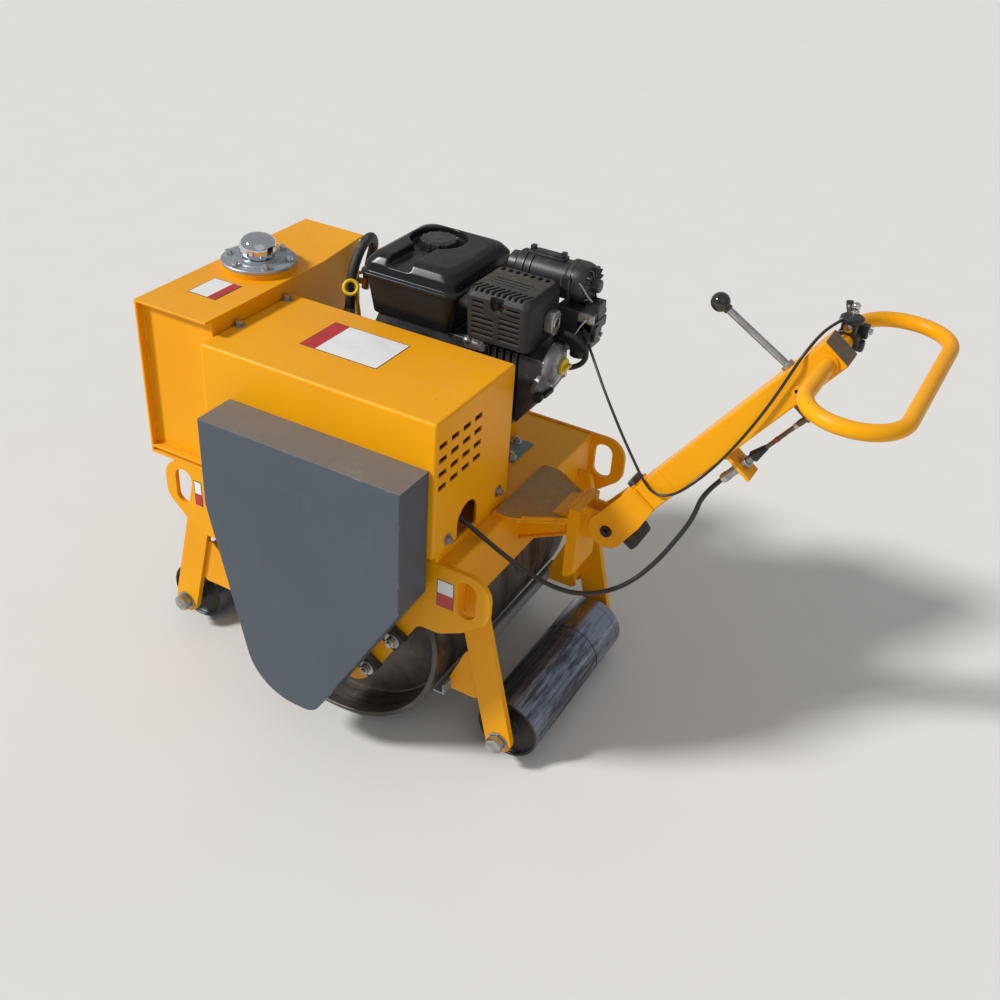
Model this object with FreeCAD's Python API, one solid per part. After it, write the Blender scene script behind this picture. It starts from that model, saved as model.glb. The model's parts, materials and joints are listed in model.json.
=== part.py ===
import FreeCAD, Part
import math
import os

# Walk-behind single-drum roller, millimetres, +X forward, +Y to the chain case, +Z up.
# Heights are above the ground. Lengths along X start midway between the two support
# rollers and lengths along Y start at the middle of the drum. The finished model is
# moved so that its origin lies under the middle of its box.

Vector = FreeCAD.Vector

# Drum
DRUM_X = -28.0
DRUM_RADIUS = 240.0
DRUM_HALF = 268.0
DRUM_WALL = 10.0
DRUM_DISC_Y = 196.0
DRUM_DISC_THICK = 12.0
DRUM_HUB_RADIUS = 52.0
DRUM_HUB_REACH = 14.0
AXLE_RADIUS = 30.0
AXLE_REACH = 6.0
RUNNING_FIT = 0.05
MOVING_CLEARANCE = 6.0

# Support rollers
ROLLER_X = DRUM_RADIUS + 149.0
ROLLER_RADIUS = 65.0
ROLLER_HALF = 194.0
ROLLER_WALL = 6.0
ROLLER_END_RECESS = 8.0
ROLLER_END_THICK = 12.0
ROLLER_GROOVE_Y = -78.0
ROLLER_GROOVE_WIDTH = 5.0
ROLLER_GROOVE_DEPTH = 1.2
ROLLER_HUB_REACH = 12.0
ROLLER_HUB_WALL = 9.0
PIN_RADIUS = 12.5
PIN_REACH = 19.0

# Frame
PLATE_INNER = DRUM_HALF + MOVING_CLEARANCE
PLATE_THICK = 10.0
PLATE_OUTER = PLATE_INNER + PLATE_THICK
DECK_TOP = 2 * DRUM_RADIUS - 4.0
DECK_THICK = 6.0
LEG_OUTER = ROLLER_HALF + 36.0
LEG_THICK = 14.0
LEG_HALF_WIDTH = 28.0
LEG_LEAN = 13.8
LEG_TOP = DECK_TOP - 62.0
LEG_FRONT_TOP = DECK_TOP - 36.0
LEG_TOP_ROUND = 14.0
BEAM_REAR_X = DRUM_RADIUS - DRUM_X + 35.0
BEAM_FRONT_X = DRUM_RADIUS + DRUM_X + 69.0
BEAM_DEPTH = 120.0
BEAM_FLANGE = 44.0
BEAM_WALL = 8.0
BEAM_BEND = 5.0
DECK_REACH = 92.0
EYE_REAR = (-380.0, -332.0)
EYE_FRONT = (352.0, 306.0)
EYE_SLOT_Z = DECK_TOP - 56.0
EYE_LOW = DECK_TOP - 88.0
EYE_TOP_BEND = 44.0
EYE_LOW_BEND = 40.0
EYE_STEP = 24.0
EYE_SLOT_WIDTH = 40.0
EYE_SLOT_HEIGHT = 78.0
BAND_BOTTOM = DECK_TOP - 154.0
HANGER_TOP_REACH = 208.0
HANGER_FOOT_REACH = 84.0
HANGER_FOOT_Z = DRUM_RADIUS - 122.0
HOUSING_RADIUS = 74.0
HOUSING_THICK = 8.0
CASE_POSTS = ((-150.0, DECK_TOP - 36.0), (80.0, DECK_TOP - 36.0))
CASE_POST_RADIUS = 12.0
MOUNT_SIZE = 38.0
MOUNT_THICK = 18.0
SCRAPER_Z = DRUM_RADIUS - 100.0
SCRAPER_LEG = 24.0
SCRAPER_WALL = 5.0
SCRAPER_HALF = LEG_OUTER + 18.0
SCRAPER_CLEARANCE = 5.2
SCRAPER_ARM_TOP = DRUM_RADIUS + 8.0
SCRAPER_ARM_WIDTH = 34.0

# Engine base on its rails and the upright sheets inside the belt cover
BASE_TOP = DECK_TOP + 58.0
BASE_THICK = 8.0
BASE_REAR = -172.0
BASE_FRONT = 112.0
BASE_LEFT = 40.0
BASE_RIGHT = -196.0
BASE_ROUND = 12.0
RAIL_WIDTH = 44.0
UPRIGHT_THICK = 6.0
UPRIGHT_TOP = DECK_TOP + 64.0
SEAT_GAP = 0.3
GLAND_LENGTH = 26.0
GLAND_POST_WIDTH = 12.0
GLAND_POST_DEPTH = 20.0
CABLE_GAP_SIDE = 6.0
CABLE_GAP_SILL = 14.0

# Front tank
TANK_FRONT = 380.0
TANK_REAR = 214.0
TANK_REAR_RIGHT = 232.0
TANK_LEFT = PLATE_OUTER + 1.0
TANK_RIGHT = -219.0
TANK_KINK_Y = -59.0
TANK_TOP = DECK_TOP + 320.0
TANK_SHEET = 5.0
TANK_LIP = 16.0
TANK_FLANGE_TOP = DECK_TOP + 17.0

# Breather on the tank
BREATHER_X = 299.0
BREATHER_Y = 33.0
BREATHER_FLANGE_RADIUS = 72.0
BREATHER_RING_HEIGHT = 10.0
BREATHER_FLANGE_THICK = 7.0
BREATHER_NECK = 9.0
BREATHER_DOME_RADIUS = 36.0
BREATHER_TOP = DECK_TOP + 384.0

# Belt cover
COVER_REAR = -275.5
COVER_FRONT = 213.5
COVER_LEFT = PLATE_OUTER + 21.3
COVER_RIGHT = 44.0
COVER_TOP = DECK_TOP + 290.0
COVER_BOTTOM = DECK_TOP + 23.0
COVER_SHEET = 3.0
COVER_BEND = 6.0
VENT_COLUMNS = 4
VENT_ROWS = 4
VENT_Y = COVER_LEFT - 22.3
VENT_Z = DECK_TOP + 242.5
VENT_PITCH_Y = 37.6
VENT_PITCH_Z = 26.8
VENT_WIDTH = 25.0
VENT_HEIGHT = 10.0
ARCH_Y = 193.0
ARCH_RADIUS = 34.0
ARCH_SPRING_Z = DECK_TOP + 48.0

# Engine with its shaft across
CRANK_X = -38.0
CRANK_Z = BASE_TOP + 106.0
CRANK_RADIUS = 12.5
FOOT_HEIGHT = 14.0
CRANKCASE_SECTIONS = (
    (FOOT_HEIGHT, -160.0, 80.0, -158.0, 28.0, 13.0),
    (60.0, -168.0, 84.0, -160.0, 30.0, 26.0),
    (176.0, -150.0, 60.0, -160.0, 30.0, 26.0),
    (231.7, -120.0, 44.0, -158.0, 14.0, 26.0),
)
SHAFT_START = 28.0
FEET_X = ((-158.0, -118.0), (38.0, 78.0))
FOOT_RIGHT = -150.0
FOOT_LEFT = 20.0
STARTER_RADIUS = 98.0
STARTER_DEPTH = 62.0
STARTER_ROUND = 22.0
CRANKCASE_RIGHT = CRANKCASE_SECTIONS[1][3]
CYLINDER_RIGHT = -92.0
CYLINDER_LEFT = 10.0
CYLINDER_LOW = BASE_TOP + 70.0
HEAD_REAR = -308.0
HEAD_TOP = BASE_TOP + 231.0
CYLINDER_OUTLINE = (
    (-150.0, 70.0, 0),
    (-240.0, 72.0, 30),
    (-266.0, 94.0, 30),
    (-292.0, 130.0, 30),
    (HEAD_REAR, 160.0, 14),
    (HEAD_REAR, 231.0, 8),
    (-100.0, 231.0, 0),
)
FIN_COUNT = 7
FIN_START = -262.0
FIN_PITCH = 14.0
FIN_GAP = 6.0
FIN_DEPTH = 12.0

# Fuel tank and its cap
FUEL_BOTTOM = BASE_TOP + 232.0
FUEL_SEAM_LOW = FUEL_BOTTOM + 76.0
FUEL_SEAM_TOP = FUEL_BOTTOM + 84.0
FUEL_TOP = FUEL_BOTTOM + 119.0
FUEL_REAR = -143.0
FUEL_FRONT = 68.0
FUEL_RIGHT = -197.0
FUEL_LEFT = 40.0
FUEL_CORNER = 24.0
CAP_X = -15.0
CAP_Y = -111.0
CAP_RADIUS = 38.5
CAP_TOP = FUEL_BOTTOM + 120.0
CAP_FLUTES = 12
CAP_FLUTE_RADIUS = 5.0
CAP_SEAT = FUEL_BOTTOM + 102.0
CAP_POCKET_RADIUS = 54.0
CHANNEL_HALF = 24.0

# Muffler guard and outlet
GUARD_BOTTOM = FUEL_BOTTOM + 12.0
GUARD_SHOULDER = FUEL_BOTTOM + 94.0
GUARD_TOP = FUEL_BOTTOM + 109.0
GUARD_REAR = -286.0
GUARD_FRONT = -156.0
GUARD_RIGHT = -96.0
GUARD_LEFT = 31.0
GUARD_ROWS = 7
GUARD_SLOT_Z = FUEL_BOTTOM + 24.0
GUARD_SLOT_PITCH = 10.0
GUARD_SLOT_HEIGHT = 4.0
GUARD_SLOTS_REAR = (-268.0, -226.0)
GUARD_SLOTS_FRONT = (-216.0, -172.0)
GUARD_SLOTS_SHORT = (-196.0, -172.0)
PIPE_PLACE = (-236.0, -40.0)
PIPE_RADIUS = 18.0
OUTLET_DEPTH = 17.0
OUTLET_Y = (-62.0, -28.0)
OUTLET_Z = (GUARD_BOTTOM + 16.0, GUARD_BOTTOM + 60.0)

# Air cleaner and carburettor
CLEANER_Y = -140.0
CLEANER_Z = FUEL_BOTTOM + 96.0
CLEANER_RADIUS = 33.0
CLEANER_STEPS = (
    (-158.0, 20.0, 26.0),
    (-176.0, 110.0, 33.0),
    (-284.0, 44.0, 38.0),
    (-328.0, 12.0, 25.0),
)
CARB_FRONT = -272.0
CARB_REAR = -348.0
CARB_BOTTOM = FUEL_BOTTOM - 22.0
CARB_Y = (-150.0, -98.0)
BOWL_X = -318.0
BOWL_RADIUS = 18.0
BOWL_BOTTOM = FUEL_BOTTOM - 40.0
INLET_X = -288.0
INLET_Z = FUEL_BOTTOM - 14.0
INLET_RADIUS = 11.0
HOLDER_LENGTH = 30.0
HOLDER_RADIUS = 5.0
OIL_CAP_Y = -44.0
OIL_CAP_Z = FUEL_BOTTOM - 28.0
OIL_CAP_RADIUS = 14.0
OIL_CAP_DEPTH = 20.0

# Hose from the pump to the tank, its heights above the deck
HOSE_RADIUS = 10.0
HOSE_ROUTE = (
    (150.0, -51.0, 224.0),
    (150.0, -57.0, 266.0),
    (150.0, -62.0, 312.0),
    (153.0, -98.0, 354.0),
    (168.0, -154.0, 356.0),
    (188.0, -194.0, 320.0),
    (204.0, -201.0, 276.0),
    (210.0, -200.0, 240.0),
)
FITTING_RADIUS = 9.0
PUMP_Y = -34.0
PUMP_RADIUS = 20.0
PUMP_TOP = DECK_TOP + 150.0
NIPPLE_RADIUS = 6.5
STUB_LENGTH = 84.0
ELBOW_LENGTH = 26.0

# Chain case
CASE_FRONT = 152.0
CASE_REAR = -263.0
CASE_INNER = COVER_LEFT + SEAT_GAP
CASE_OUTER = CASE_INNER + 86.4
CASE_TOP = DECK_TOP + 200.0
CASE_REAR_LOW = DECK_TOP - 49.0
CASE_FRONT_LOW = DECK_TOP + 24.0
CASE_BOTTOM = DRUM_RADIUS - 137.0
CASE_NOSE_FRONT = 58.0
CASE_NOSE_REAR = -73.0
CASE_EDGE = 3.0

# Bracket that carries the handle
ARM_END = -404.0
ARM_HALF = 40.0
ARM_LOW = DECK_TOP - 76.0
ARM_HIGH = DECK_TOP - 14.0
ARM_END_LOW = DECK_TOP - 26.0
ARM_END_HIGH = DECK_TOP + 20.0
GUSSET_HALF = 100.0
GUSSET_END_HALF = 46.0
GUSSET_REACH = 26.0
GUSSET_BEND = 50.0
GUSSET_THICK = 8.0
POST_HALF = 44.0
POST_DEPTH = 22.0
POST_TOP = DECK_TOP + 32.0
POST_BOTTOM = DECK_TOP - 122.0
POST_CHAMFER = 12.0
EAR_RADIUS = 26.0

# Handle
HINGE_X = -476.0
HINGE_Z = DECK_TOP + 2.0
HINGE_PIN_RADIUS = 11.0
HANDLE_ANGLE = 54.0
HINGE_EYE_RADIUS = 36.0
HINGE_PLATE_SHOULDER = 58.0
HINGE_PLATE_END = 76.0
HINGE_PLATE_OUTER = 30.0
HINGE_PLATE_THICK = 8.0
CLEVIS_THICK = 8.0
CLEVIS_GAP = 0.3
HANDLE_OFFSET = 4.0
HANDLE_DEPTH = 52.0
HANDLE_WIDTH = 54.0
HANDLE_EDGE = 3.0
SLEEVE_START = 110.0
STEP_AT = 173.0
STEP_WIDTH = 2.5
STEP_DEPTH = 1.2
WEB_RISE = 5.0
WEB_DROP = 8.0
HANDLE_END = 563.0
LOOP_Z = DECK_TOP + 441.0
LOOP_FRONT = -795.0
LOOP_REAR = -944.0
LOOP_HALF = 205.0
LOOP_TUBE = 12.7
LOOP_BEND = 72.0
LEVER_AT = 477.0
LEVER_RADIUS = 6.0
KNOB_X = -604.0
KNOB_Z = DECK_TOP + 481.0
KNOB_RADIUS = 16.0
SADDLE_AT = 291.0
SADDLE_THICK = 6.0
SADDLE_HALF = 22.0
SADDLE_REACH = 26.0
CABLE_OFFSET = -52.0
FERRULE_START = 245.0
CABLE_RADIUS = 4.5
THROTTLE_RADIUS = 2.5
FERRULE_RADIUS = 8.0
FERRULE_END = 350.0
NUT_RADIUS = 12.0
NUT_THICK = 11.0
NUT_GAP = 0.1
PUSH_ROD_END = 445.0
PUSH_ROD_RADIUS = 4.0
EYE_HALF = 8.0
CLAMP_Y = (-96.0, -64.0)
CLAMP_WALL = 7.0
THUMB_RADIUS = 7.0
THUMB_LOW = 15.0
THUMB_HIGH = 60.0
THUMB_LEAN = 8.0
BARREL_LENGTH = 20.0
BARREL_RADIUS = 5.0
STOP_OUTLINE = ((12.0, -1.0, 0), (40.0, -1.0, 3), (36.0, 20.0, 8), (14.0, 20.0, 5))

# Cable routes, from the handle to the machine, their heights above the deck
CONTROL_ROUTE = (
    (-633.0, 1.0, 129.0),
    (-625.0, 3.0, 76.0),
    (-606.0, 11.0, 29.0),
    (-580.0, 27.0, -25.0),
    (-546.0, 51.0, -72.0),
    (-506.0, 82.0, -94.0),
    (-464.0, 112.0, -95.0),
    (-424.0, 140.0, -75.0),
    (-380.0, 161.0, -45.0),
    (-336.0, 175.0, -13.0),
    (-294.0, 185.0, 18.0),
    (-257.0, 191.0, 42.0),
)
THROTTLE_ROUTE = (
    (-782.0, -70.0, 474.0),
    (-773.0, -34.0, 474.0),
    (-766.0, 4.0, 469.0),
    (-754.0, 38.0, 442.0),
    (-740.0, 37.0, 400.0),
    (-722.0, 36.5, 350.0),
    (-700.0, 36.0, 298.0),
    (-676.0, 36.5, 249.0),
    (-650.0, 36.0, 203.0),
    (-620.0, 36.5, 160.0),
    (-590.0, 36.0, 127.0),
    (-559.0, 35.0, 116.0),
    (-533.0, 30.0, 132.0),
    (-506.0, 18.0, 158.0),
    (-474.0, 4.0, 190.0),
    (-444.0, -9.0, 224.0),
    (-413.0, -29.0, 253.0),
    (-382.0, -53.0, 281.0),
    (-354.0, -80.0, 299.0),
)


def shift():
    """Return the move that puts the origin under the middle of the box."""
    front = ROLLER_X + ROLLER_RADIUS
    rear = LOOP_REAR - LOOP_TUBE
    left = CASE_OUTER
    right = -(PLATE_OUTER + MOUNT_THICK)
    return Vector(-(front + rear) / 2, -(left + right) / 2, 0)


def box(x0, x1, y0, y1, z0, z1):
    corner = Vector(min(x0, x1), min(y0, y1), min(z0, z1))
    return Part.makeBox(abs(x1 - x0), abs(y1 - y0), abs(z1 - z0), corner)


def rod(start, end, radius):
    """Return a cylinder between two points."""
    line = end.sub(start)
    return Part.makeCylinder(radius, line.Length, start, line)


def rod_y(x, z, radius, y0, y1):
    return rod(Vector(x, min(y0, y1), z), Vector(x, max(y0, y1), z), radius)


def rod_z(x, y, radius, z0, z1):
    return rod(Vector(x, y, z0), Vector(x, y, z1), radius)


def rounded_wire(corners, lift):
    """Return a closed wire through corners (a, b, radius), each corner turned by an arc."""
    edges = []
    count = len(corners)
    ends = []
    for index in range(count):
        before = corners[index - 1]
        here = corners[index]
        after = corners[(index + 1) % count]
        point = Vector(here[0], here[1], 0)
        back = Vector(before[0], before[1], 0).sub(point).normalize()
        ahead = Vector(after[0], after[1], 0).sub(point).normalize()
        radius = here[2]
        if radius == 0:
            ends.append((point, None, point))
            continue
        half = back.getAngle(ahead) / 2
        cut = radius / math.tan(half)
        middle = back.add(ahead).normalize()
        centre = point.add(middle.multiply(radius / math.sin(half)))
        near = point.sub(centre).normalize().multiply(radius).add(centre)
        ends.append((point.add(back * cut), near, point.add(ahead * cut)))
    for index in range(count):
        start, near, end = ends[index]
        if near is not None:
            edges.append(Part.Arc(lift(start), lift(near), lift(end)).toShape())
        following = ends[(index + 1) % count][0]
        if end.distanceToPoint(following) > 1e-6:
            edges.append(Part.LineSegment(lift(end), lift(following)).toShape())
    return Part.Wire(edges)


def side_profile(corners, y0, y1):
    """Extrude an outline drawn in the XZ plane from y0 to y1."""
    low = min(y0, y1)
    wire = rounded_wire(corners, lambda p: Vector(p.x, low, p.y))
    return Part.Face(wire).extrude(Vector(0, abs(y1 - y0), 0))


def plan_profile(corners, z0, z1):
    """Extrude an outline drawn in the XY plane from z0 to z1."""
    wire = rounded_wire(corners, lambda p: Vector(p.x, p.y, z0))
    return Part.Face(wire).extrude(Vector(0, 0, z1 - z0))


def plan_rectangle(x0, x1, y0, y1, radius):
    return [(x0, y0, radius), (x1, y0, radius), (x1, y1, radius), (x0, y1, radius)]


def plan_loft(sections):
    """Loft through rounded rectangles (z, x0, x1, y0, y1, radius)."""
    wires = []
    for z, x0, x1, y0, y1, radius in sections:
        wires.append(rounded_wire(plan_rectangle(x0, x1, y0, y1, radius), lambda p: Vector(p.x, p.y, z)))
    return Part.makeLoft(wires, True, True)


def fuse(shapes):
    whole = shapes[0]
    for shape in shapes[1:]:
        whole = whole.fuse(shape)
    return whole.removeSplitter()


def mirror_y(shape):
    return shape.mirror(Vector(0, 0, 0), Vector(0, 1, 0))


def mirror_x(shape, x):
    return shape.mirror(Vector(x, 0, 0), Vector(1, 0, 0))


def cord(points, radius, name):
    """Return a tube of straight runs and the widest arcs that the runs allow."""
    edges = []
    start = points[0]
    radii = []
    for index in range(1, len(points) - 1):
        here = points[index]
        back = points[index - 1].sub(here)
        ahead = points[index + 1].sub(here)
        turn = math.pi - back.getAngle(ahead)
        bend = 0.45 * min(back.Length, ahead.Length) / math.tan(turn / 2)
        cut = bend * math.tan(turn / 2)
        first = here.add(Vector(back).normalize().multiply(cut))
        last = here.add(Vector(ahead).normalize().multiply(cut))
        towards = Vector(back).normalize().add(Vector(ahead).normalize()).normalize()
        centre = here.add(towards.multiply(bend / math.cos(turn / 2)))
        near = here.sub(centre).normalize().multiply(bend).add(centre)
        edges.append(Part.LineSegment(start, first).toShape())
        edges.append(Part.Arc(first, near, last).toShape())
        radii.append(bend)
        start = last
    edges.append(Part.LineSegment(start, points[-1]).toShape())
    path = Part.Wire(edges)
    circle = Part.makeCircle(radius, points[0], points[1].sub(points[0]))
    tube = path.makePipeShell([Part.Wire([circle])], True, False)
    share = tube.Volume / (math.pi * radius ** 2 * path.Length)
    print(name, "length", round(path.Length), "radii", [round(r) for r in radii], "volume share", round(share, 4))
    return tube


def routed(points):
    """Return a route's points, given with their heights above the deck."""
    return [Vector(x, y, DECK_TOP + height) for x, y, height in points]


def on_handle(along, across):
    """Return (x, z) of a point given along the handle and across it from its hinge."""
    angle = math.radians(HANDLE_ANGLE)
    x = HINGE_X - along * math.cos(angle) + across * math.sin(angle)
    z = HINGE_Z + along * math.sin(angle) + across * math.cos(angle)
    return x, z


def handle_point(along, across, y=0.0):
    x, z = on_handle(along, across)
    return Vector(x, y, z)


def handle_profile(corners, y0, y1):
    """Extrude an outline drawn in handle coordinates (along, across, radius)."""
    placed = []
    for along, across, radius in corners:
        x, z = on_handle(along, across)
        placed.append((x, z, radius))
    return side_profile(placed, y0, y1)


parts = {}


def drum():
    """Rolled shell with two inset discs on one hub tube."""
    z = DRUM_RADIUS
    inside = DRUM_RADIUS - DRUM_WALL
    shell = rod_y(DRUM_X, z, DRUM_RADIUS, -DRUM_HALF, DRUM_HALF)
    shapes = [shell.cut(rod_y(DRUM_X, z, inside, -DRUM_HALF, DRUM_HALF))]
    for side in (-1, 1):
        outer = side * DRUM_DISC_Y
        shapes.append(rod_y(DRUM_X, z, inside, outer - side * DRUM_DISC_THICK, outer))
    hub_end = DRUM_DISC_Y + DRUM_HUB_REACH
    shapes.append(rod_y(DRUM_X, z, DRUM_HUB_RADIUS, -hub_end, hub_end))
    whole = fuse(shapes)
    bore = rod_y(DRUM_X, z, AXLE_RADIUS + RUNNING_FIT, -DRUM_HALF, DRUM_HALF)
    parts["drum"] = whole.cut(bore)


def axles():
    """Fixed axle of the drum and the fixed pins of both support rollers."""
    end = PLATE_OUTER + HOUSING_THICK + AXLE_REACH
    pin_end = LEG_OUTER + PIN_REACH
    pins = [rod_y(DRUM_X, DRUM_RADIUS, AXLE_RADIUS, -end, end)]
    for side in (-1, 1):
        pins.append(rod_y(side * ROLLER_X, ROLLER_RADIUS, PIN_RADIUS, -pin_end, pin_end))
    parts["axles"] = Part.makeCompound(pins)


def side_plates():
    """Side plate with a lifting eye at each end, tapered to the axle's housing."""
    corners = [
        (EYE_REAR[0], DECK_TOP, EYE_TOP_BEND),
        (EYE_REAR[0], EYE_LOW, EYE_LOW_BEND),
        (EYE_REAR[0] + 52, BAND_BOTTOM + EYE_STEP, 30),
        (EYE_REAR[0] + 100, BAND_BOTTOM, 30),
        (DRUM_X - HANGER_TOP_REACH, BAND_BOTTOM, 20),
        (DRUM_X - HANGER_FOOT_REACH, HANGER_FOOT_Z, 60),
        (DRUM_X + HANGER_FOOT_REACH, HANGER_FOOT_Z, 60),
        (DRUM_X + HANGER_TOP_REACH, BAND_BOTTOM, 20),
        (EYE_FRONT[0] - 84, BAND_BOTTOM, 30),
        (EYE_FRONT[0] - 46, BAND_BOTTOM + EYE_STEP, 30),
        (EYE_FRONT[0], EYE_LOW, EYE_LOW_BEND),
        (EYE_FRONT[0], DECK_TOP, EYE_TOP_BEND),
    ]
    plate = side_profile(corners, PLATE_INNER, PLATE_OUTER)
    for x in (EYE_REAR[1], EYE_FRONT[1]):
        half = EYE_SLOT_WIDTH / 2
        reach = EYE_SLOT_HEIGHT / 2
        slot = side_profile([
            (x - half, EYE_SLOT_Z - reach, half - 0.5),
            (x + half, EYE_SLOT_Z - reach, half - 0.5),
            (x + half, EYE_SLOT_Z + reach, half - 0.5),
            (x - half, EYE_SLOT_Z + reach, half - 0.5),
        ], PLATE_INNER - 1, PLATE_OUTER + 1)
        plate = plate.cut(slot)
    plate = plate.fuse(rod_y(DRUM_X, DRUM_RADIUS, HOUSING_RADIUS, PLATE_INNER, PLATE_OUTER + HOUSING_THICK))
    plate = plate.cut(rod_y(DRUM_X, DRUM_RADIUS, AXLE_RADIUS + RUNNING_FIT, PLATE_INNER - 1, PLATE_OUTER + 20))
    plain = plate.removeSplitter()
    parts["side_plate_right"] = mirror_y(plain)
    shapes = [plain]
    for x, z in CASE_POSTS:
        shapes.append(rod_y(x, z, CASE_POST_RADIUS, PLATE_OUTER, CASE_INNER - SEAT_GAP))
    parts["side_plate_left"] = fuse(shapes)


def rubber_mounts():
    """Square rubber blocks along both sloping edges of each hanger."""
    slope = math.atan2(BAND_BOTTOM - HANGER_FOOT_Z, HANGER_TOP_REACH - HANGER_FOOT_REACH)
    blocks = []
    for share in (0.24, 0.70):
        reach = HANGER_TOP_REACH + (HANGER_FOOT_REACH - HANGER_TOP_REACH) * share - 14
        z = BAND_BOTTOM + (HANGER_FOOT_Z - BAND_BOTTOM) * share + 4
        for side in (-1, 1):
            half = MOUNT_SIZE / 2
            block = box(-half, half, PLATE_OUTER, PLATE_OUTER + MOUNT_THICK, -half, half)
            block.rotate(Vector(0, 0, 0), Vector(0, 1, 0), math.degrees(slope) * -side)
            block.translate(Vector(DRUM_X + side * reach, 0, z))
            blocks.append(block)
            blocks.append(mirror_y(block))
    parts["rubber_mounts"] = Part.makeCompound(blocks)


def leg(beam_x, top):
    """Rear left leg, flat and leaning, round at the foot and notched round its beam."""
    lean = math.radians(LEG_LEAN)
    foot = (-ROLLER_X, ROLLER_RADIUS)
    top_x = foot[0] + (top - ROLLER_RADIUS) * math.tan(lean)
    half = LEG_HALF_WIDTH / math.cos(lean)
    drop = LEG_HALF_WIDTH * math.sin(lean)
    reach = LEG_HALF_WIDTH * math.cos(lean)
    outline = [
        (foot[0] - reach, foot[1] + drop, 0),
        (foot[0] + reach, foot[1] - drop, 0),
        (top_x + half, top, 0),
        (top_x - half, top, LEG_TOP_ROUND),
    ]
    inner = LEG_OUTER - LEG_THICK
    shape = side_profile(outline, inner, LEG_OUTER)
    shape = shape.fuse(rod_y(foot[0], foot[1], LEG_HALF_WIDTH, inner, LEG_OUTER)).removeSplitter()
    beam_bottom = DECK_TOP - DECK_THICK - BEAM_DEPTH
    shape = shape.cut(box(-beam_x, -beam_x + BEAM_DEPTH, inner - 1, LEG_OUTER + 1, beam_bottom, DECK_TOP))
    return shape.cut(rod_y(foot[0], foot[1], PIN_RADIUS + RUNNING_FIT, inner - 1, LEG_OUTER + 1))


def legs():
    rear = leg(BEAM_REAR_X, LEG_TOP)
    front = mirror_x(leg(BEAM_FRONT_X, LEG_FRONT_TOP), 0)
    parts["leg_rear_left"] = rear
    parts["leg_rear_right"] = mirror_y(rear)
    parts["leg_front_left"] = front
    parts["leg_front_right"] = mirror_y(front)


def rollers():
    """Tube rollers with inset end discs, hubs and one turned groove."""
    for name, side in (("rear", -1), ("front", 1)):
        x = side * ROLLER_X
        z = ROLLER_RADIUS
        tube = rod_y(x, z, ROLLER_RADIUS, -ROLLER_HALF, ROLLER_HALF)
        tube = tube.cut(rod_y(x, z, ROLLER_RADIUS - ROLLER_WALL, -ROLLER_HALF, ROLLER_HALF))
        groove = rod_y(x, z, ROLLER_RADIUS + 1, ROLLER_GROOVE_Y, ROLLER_GROOVE_Y + ROLLER_GROOVE_WIDTH)
        core = rod_y(x, z, ROLLER_RADIUS - ROLLER_GROOVE_DEPTH, ROLLER_GROOVE_Y - 1,
                     ROLLER_GROOVE_Y + ROLLER_GROOVE_WIDTH + 1)
        shapes = [tube.cut(groove.cut(core))]
        for end in (-1, 1):
            outer = end * (ROLLER_HALF - ROLLER_END_RECESS)
            shapes.append(rod_y(x, z, ROLLER_RADIUS - ROLLER_WALL, outer - end * ROLLER_END_THICK, outer))
            hub_end = end * (ROLLER_HALF + ROLLER_HUB_REACH)
            shapes.append(rod_y(x, z, PIN_RADIUS + ROLLER_HUB_WALL, outer - end * 40, hub_end))
        whole = fuse(shapes)
        bore = rod_y(x, z, PIN_RADIUS + RUNNING_FIT, -ROLLER_HALF - 20, ROLLER_HALF + 20)
        parts[name + "_roller"] = whole.cut(bore)


def deck(beam_x, edge_x):
    """Rear cross beam folded to a channel, open towards the drum, under its deck sheet."""
    low = DECK_TOP - DECK_THICK
    bottom = low - BEAM_DEPTH
    web = box(-beam_x, -beam_x + BEAM_WALL, -PLATE_INNER, PLATE_INNER, bottom, DECK_TOP)
    sheet = box(-beam_x, edge_x, -PLATE_INNER, PLATE_INNER, low, DECK_TOP)
    flange = box(-beam_x, -beam_x + BEAM_FLANGE, -PLATE_INNER, PLATE_INNER, bottom, bottom + BEAM_WALL)
    whole = fuse([web, sheet, flange])
    folds = [edge for edge in whole.Edges
             if edge.Length > PLATE_INNER and abs(edge.CenterOfMass.x + beam_x) < 0.1]
    return whole.makeFillet(BEAM_BEND, folds)


def decks():
    parts["rear_deck"] = deck(BEAM_REAR_X, DRUM_X - DECK_REACH)
    parts["front_deck"] = mirror_x(deck(BEAM_FRONT_X, -DRUM_X - DECK_REACH), 0)


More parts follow.
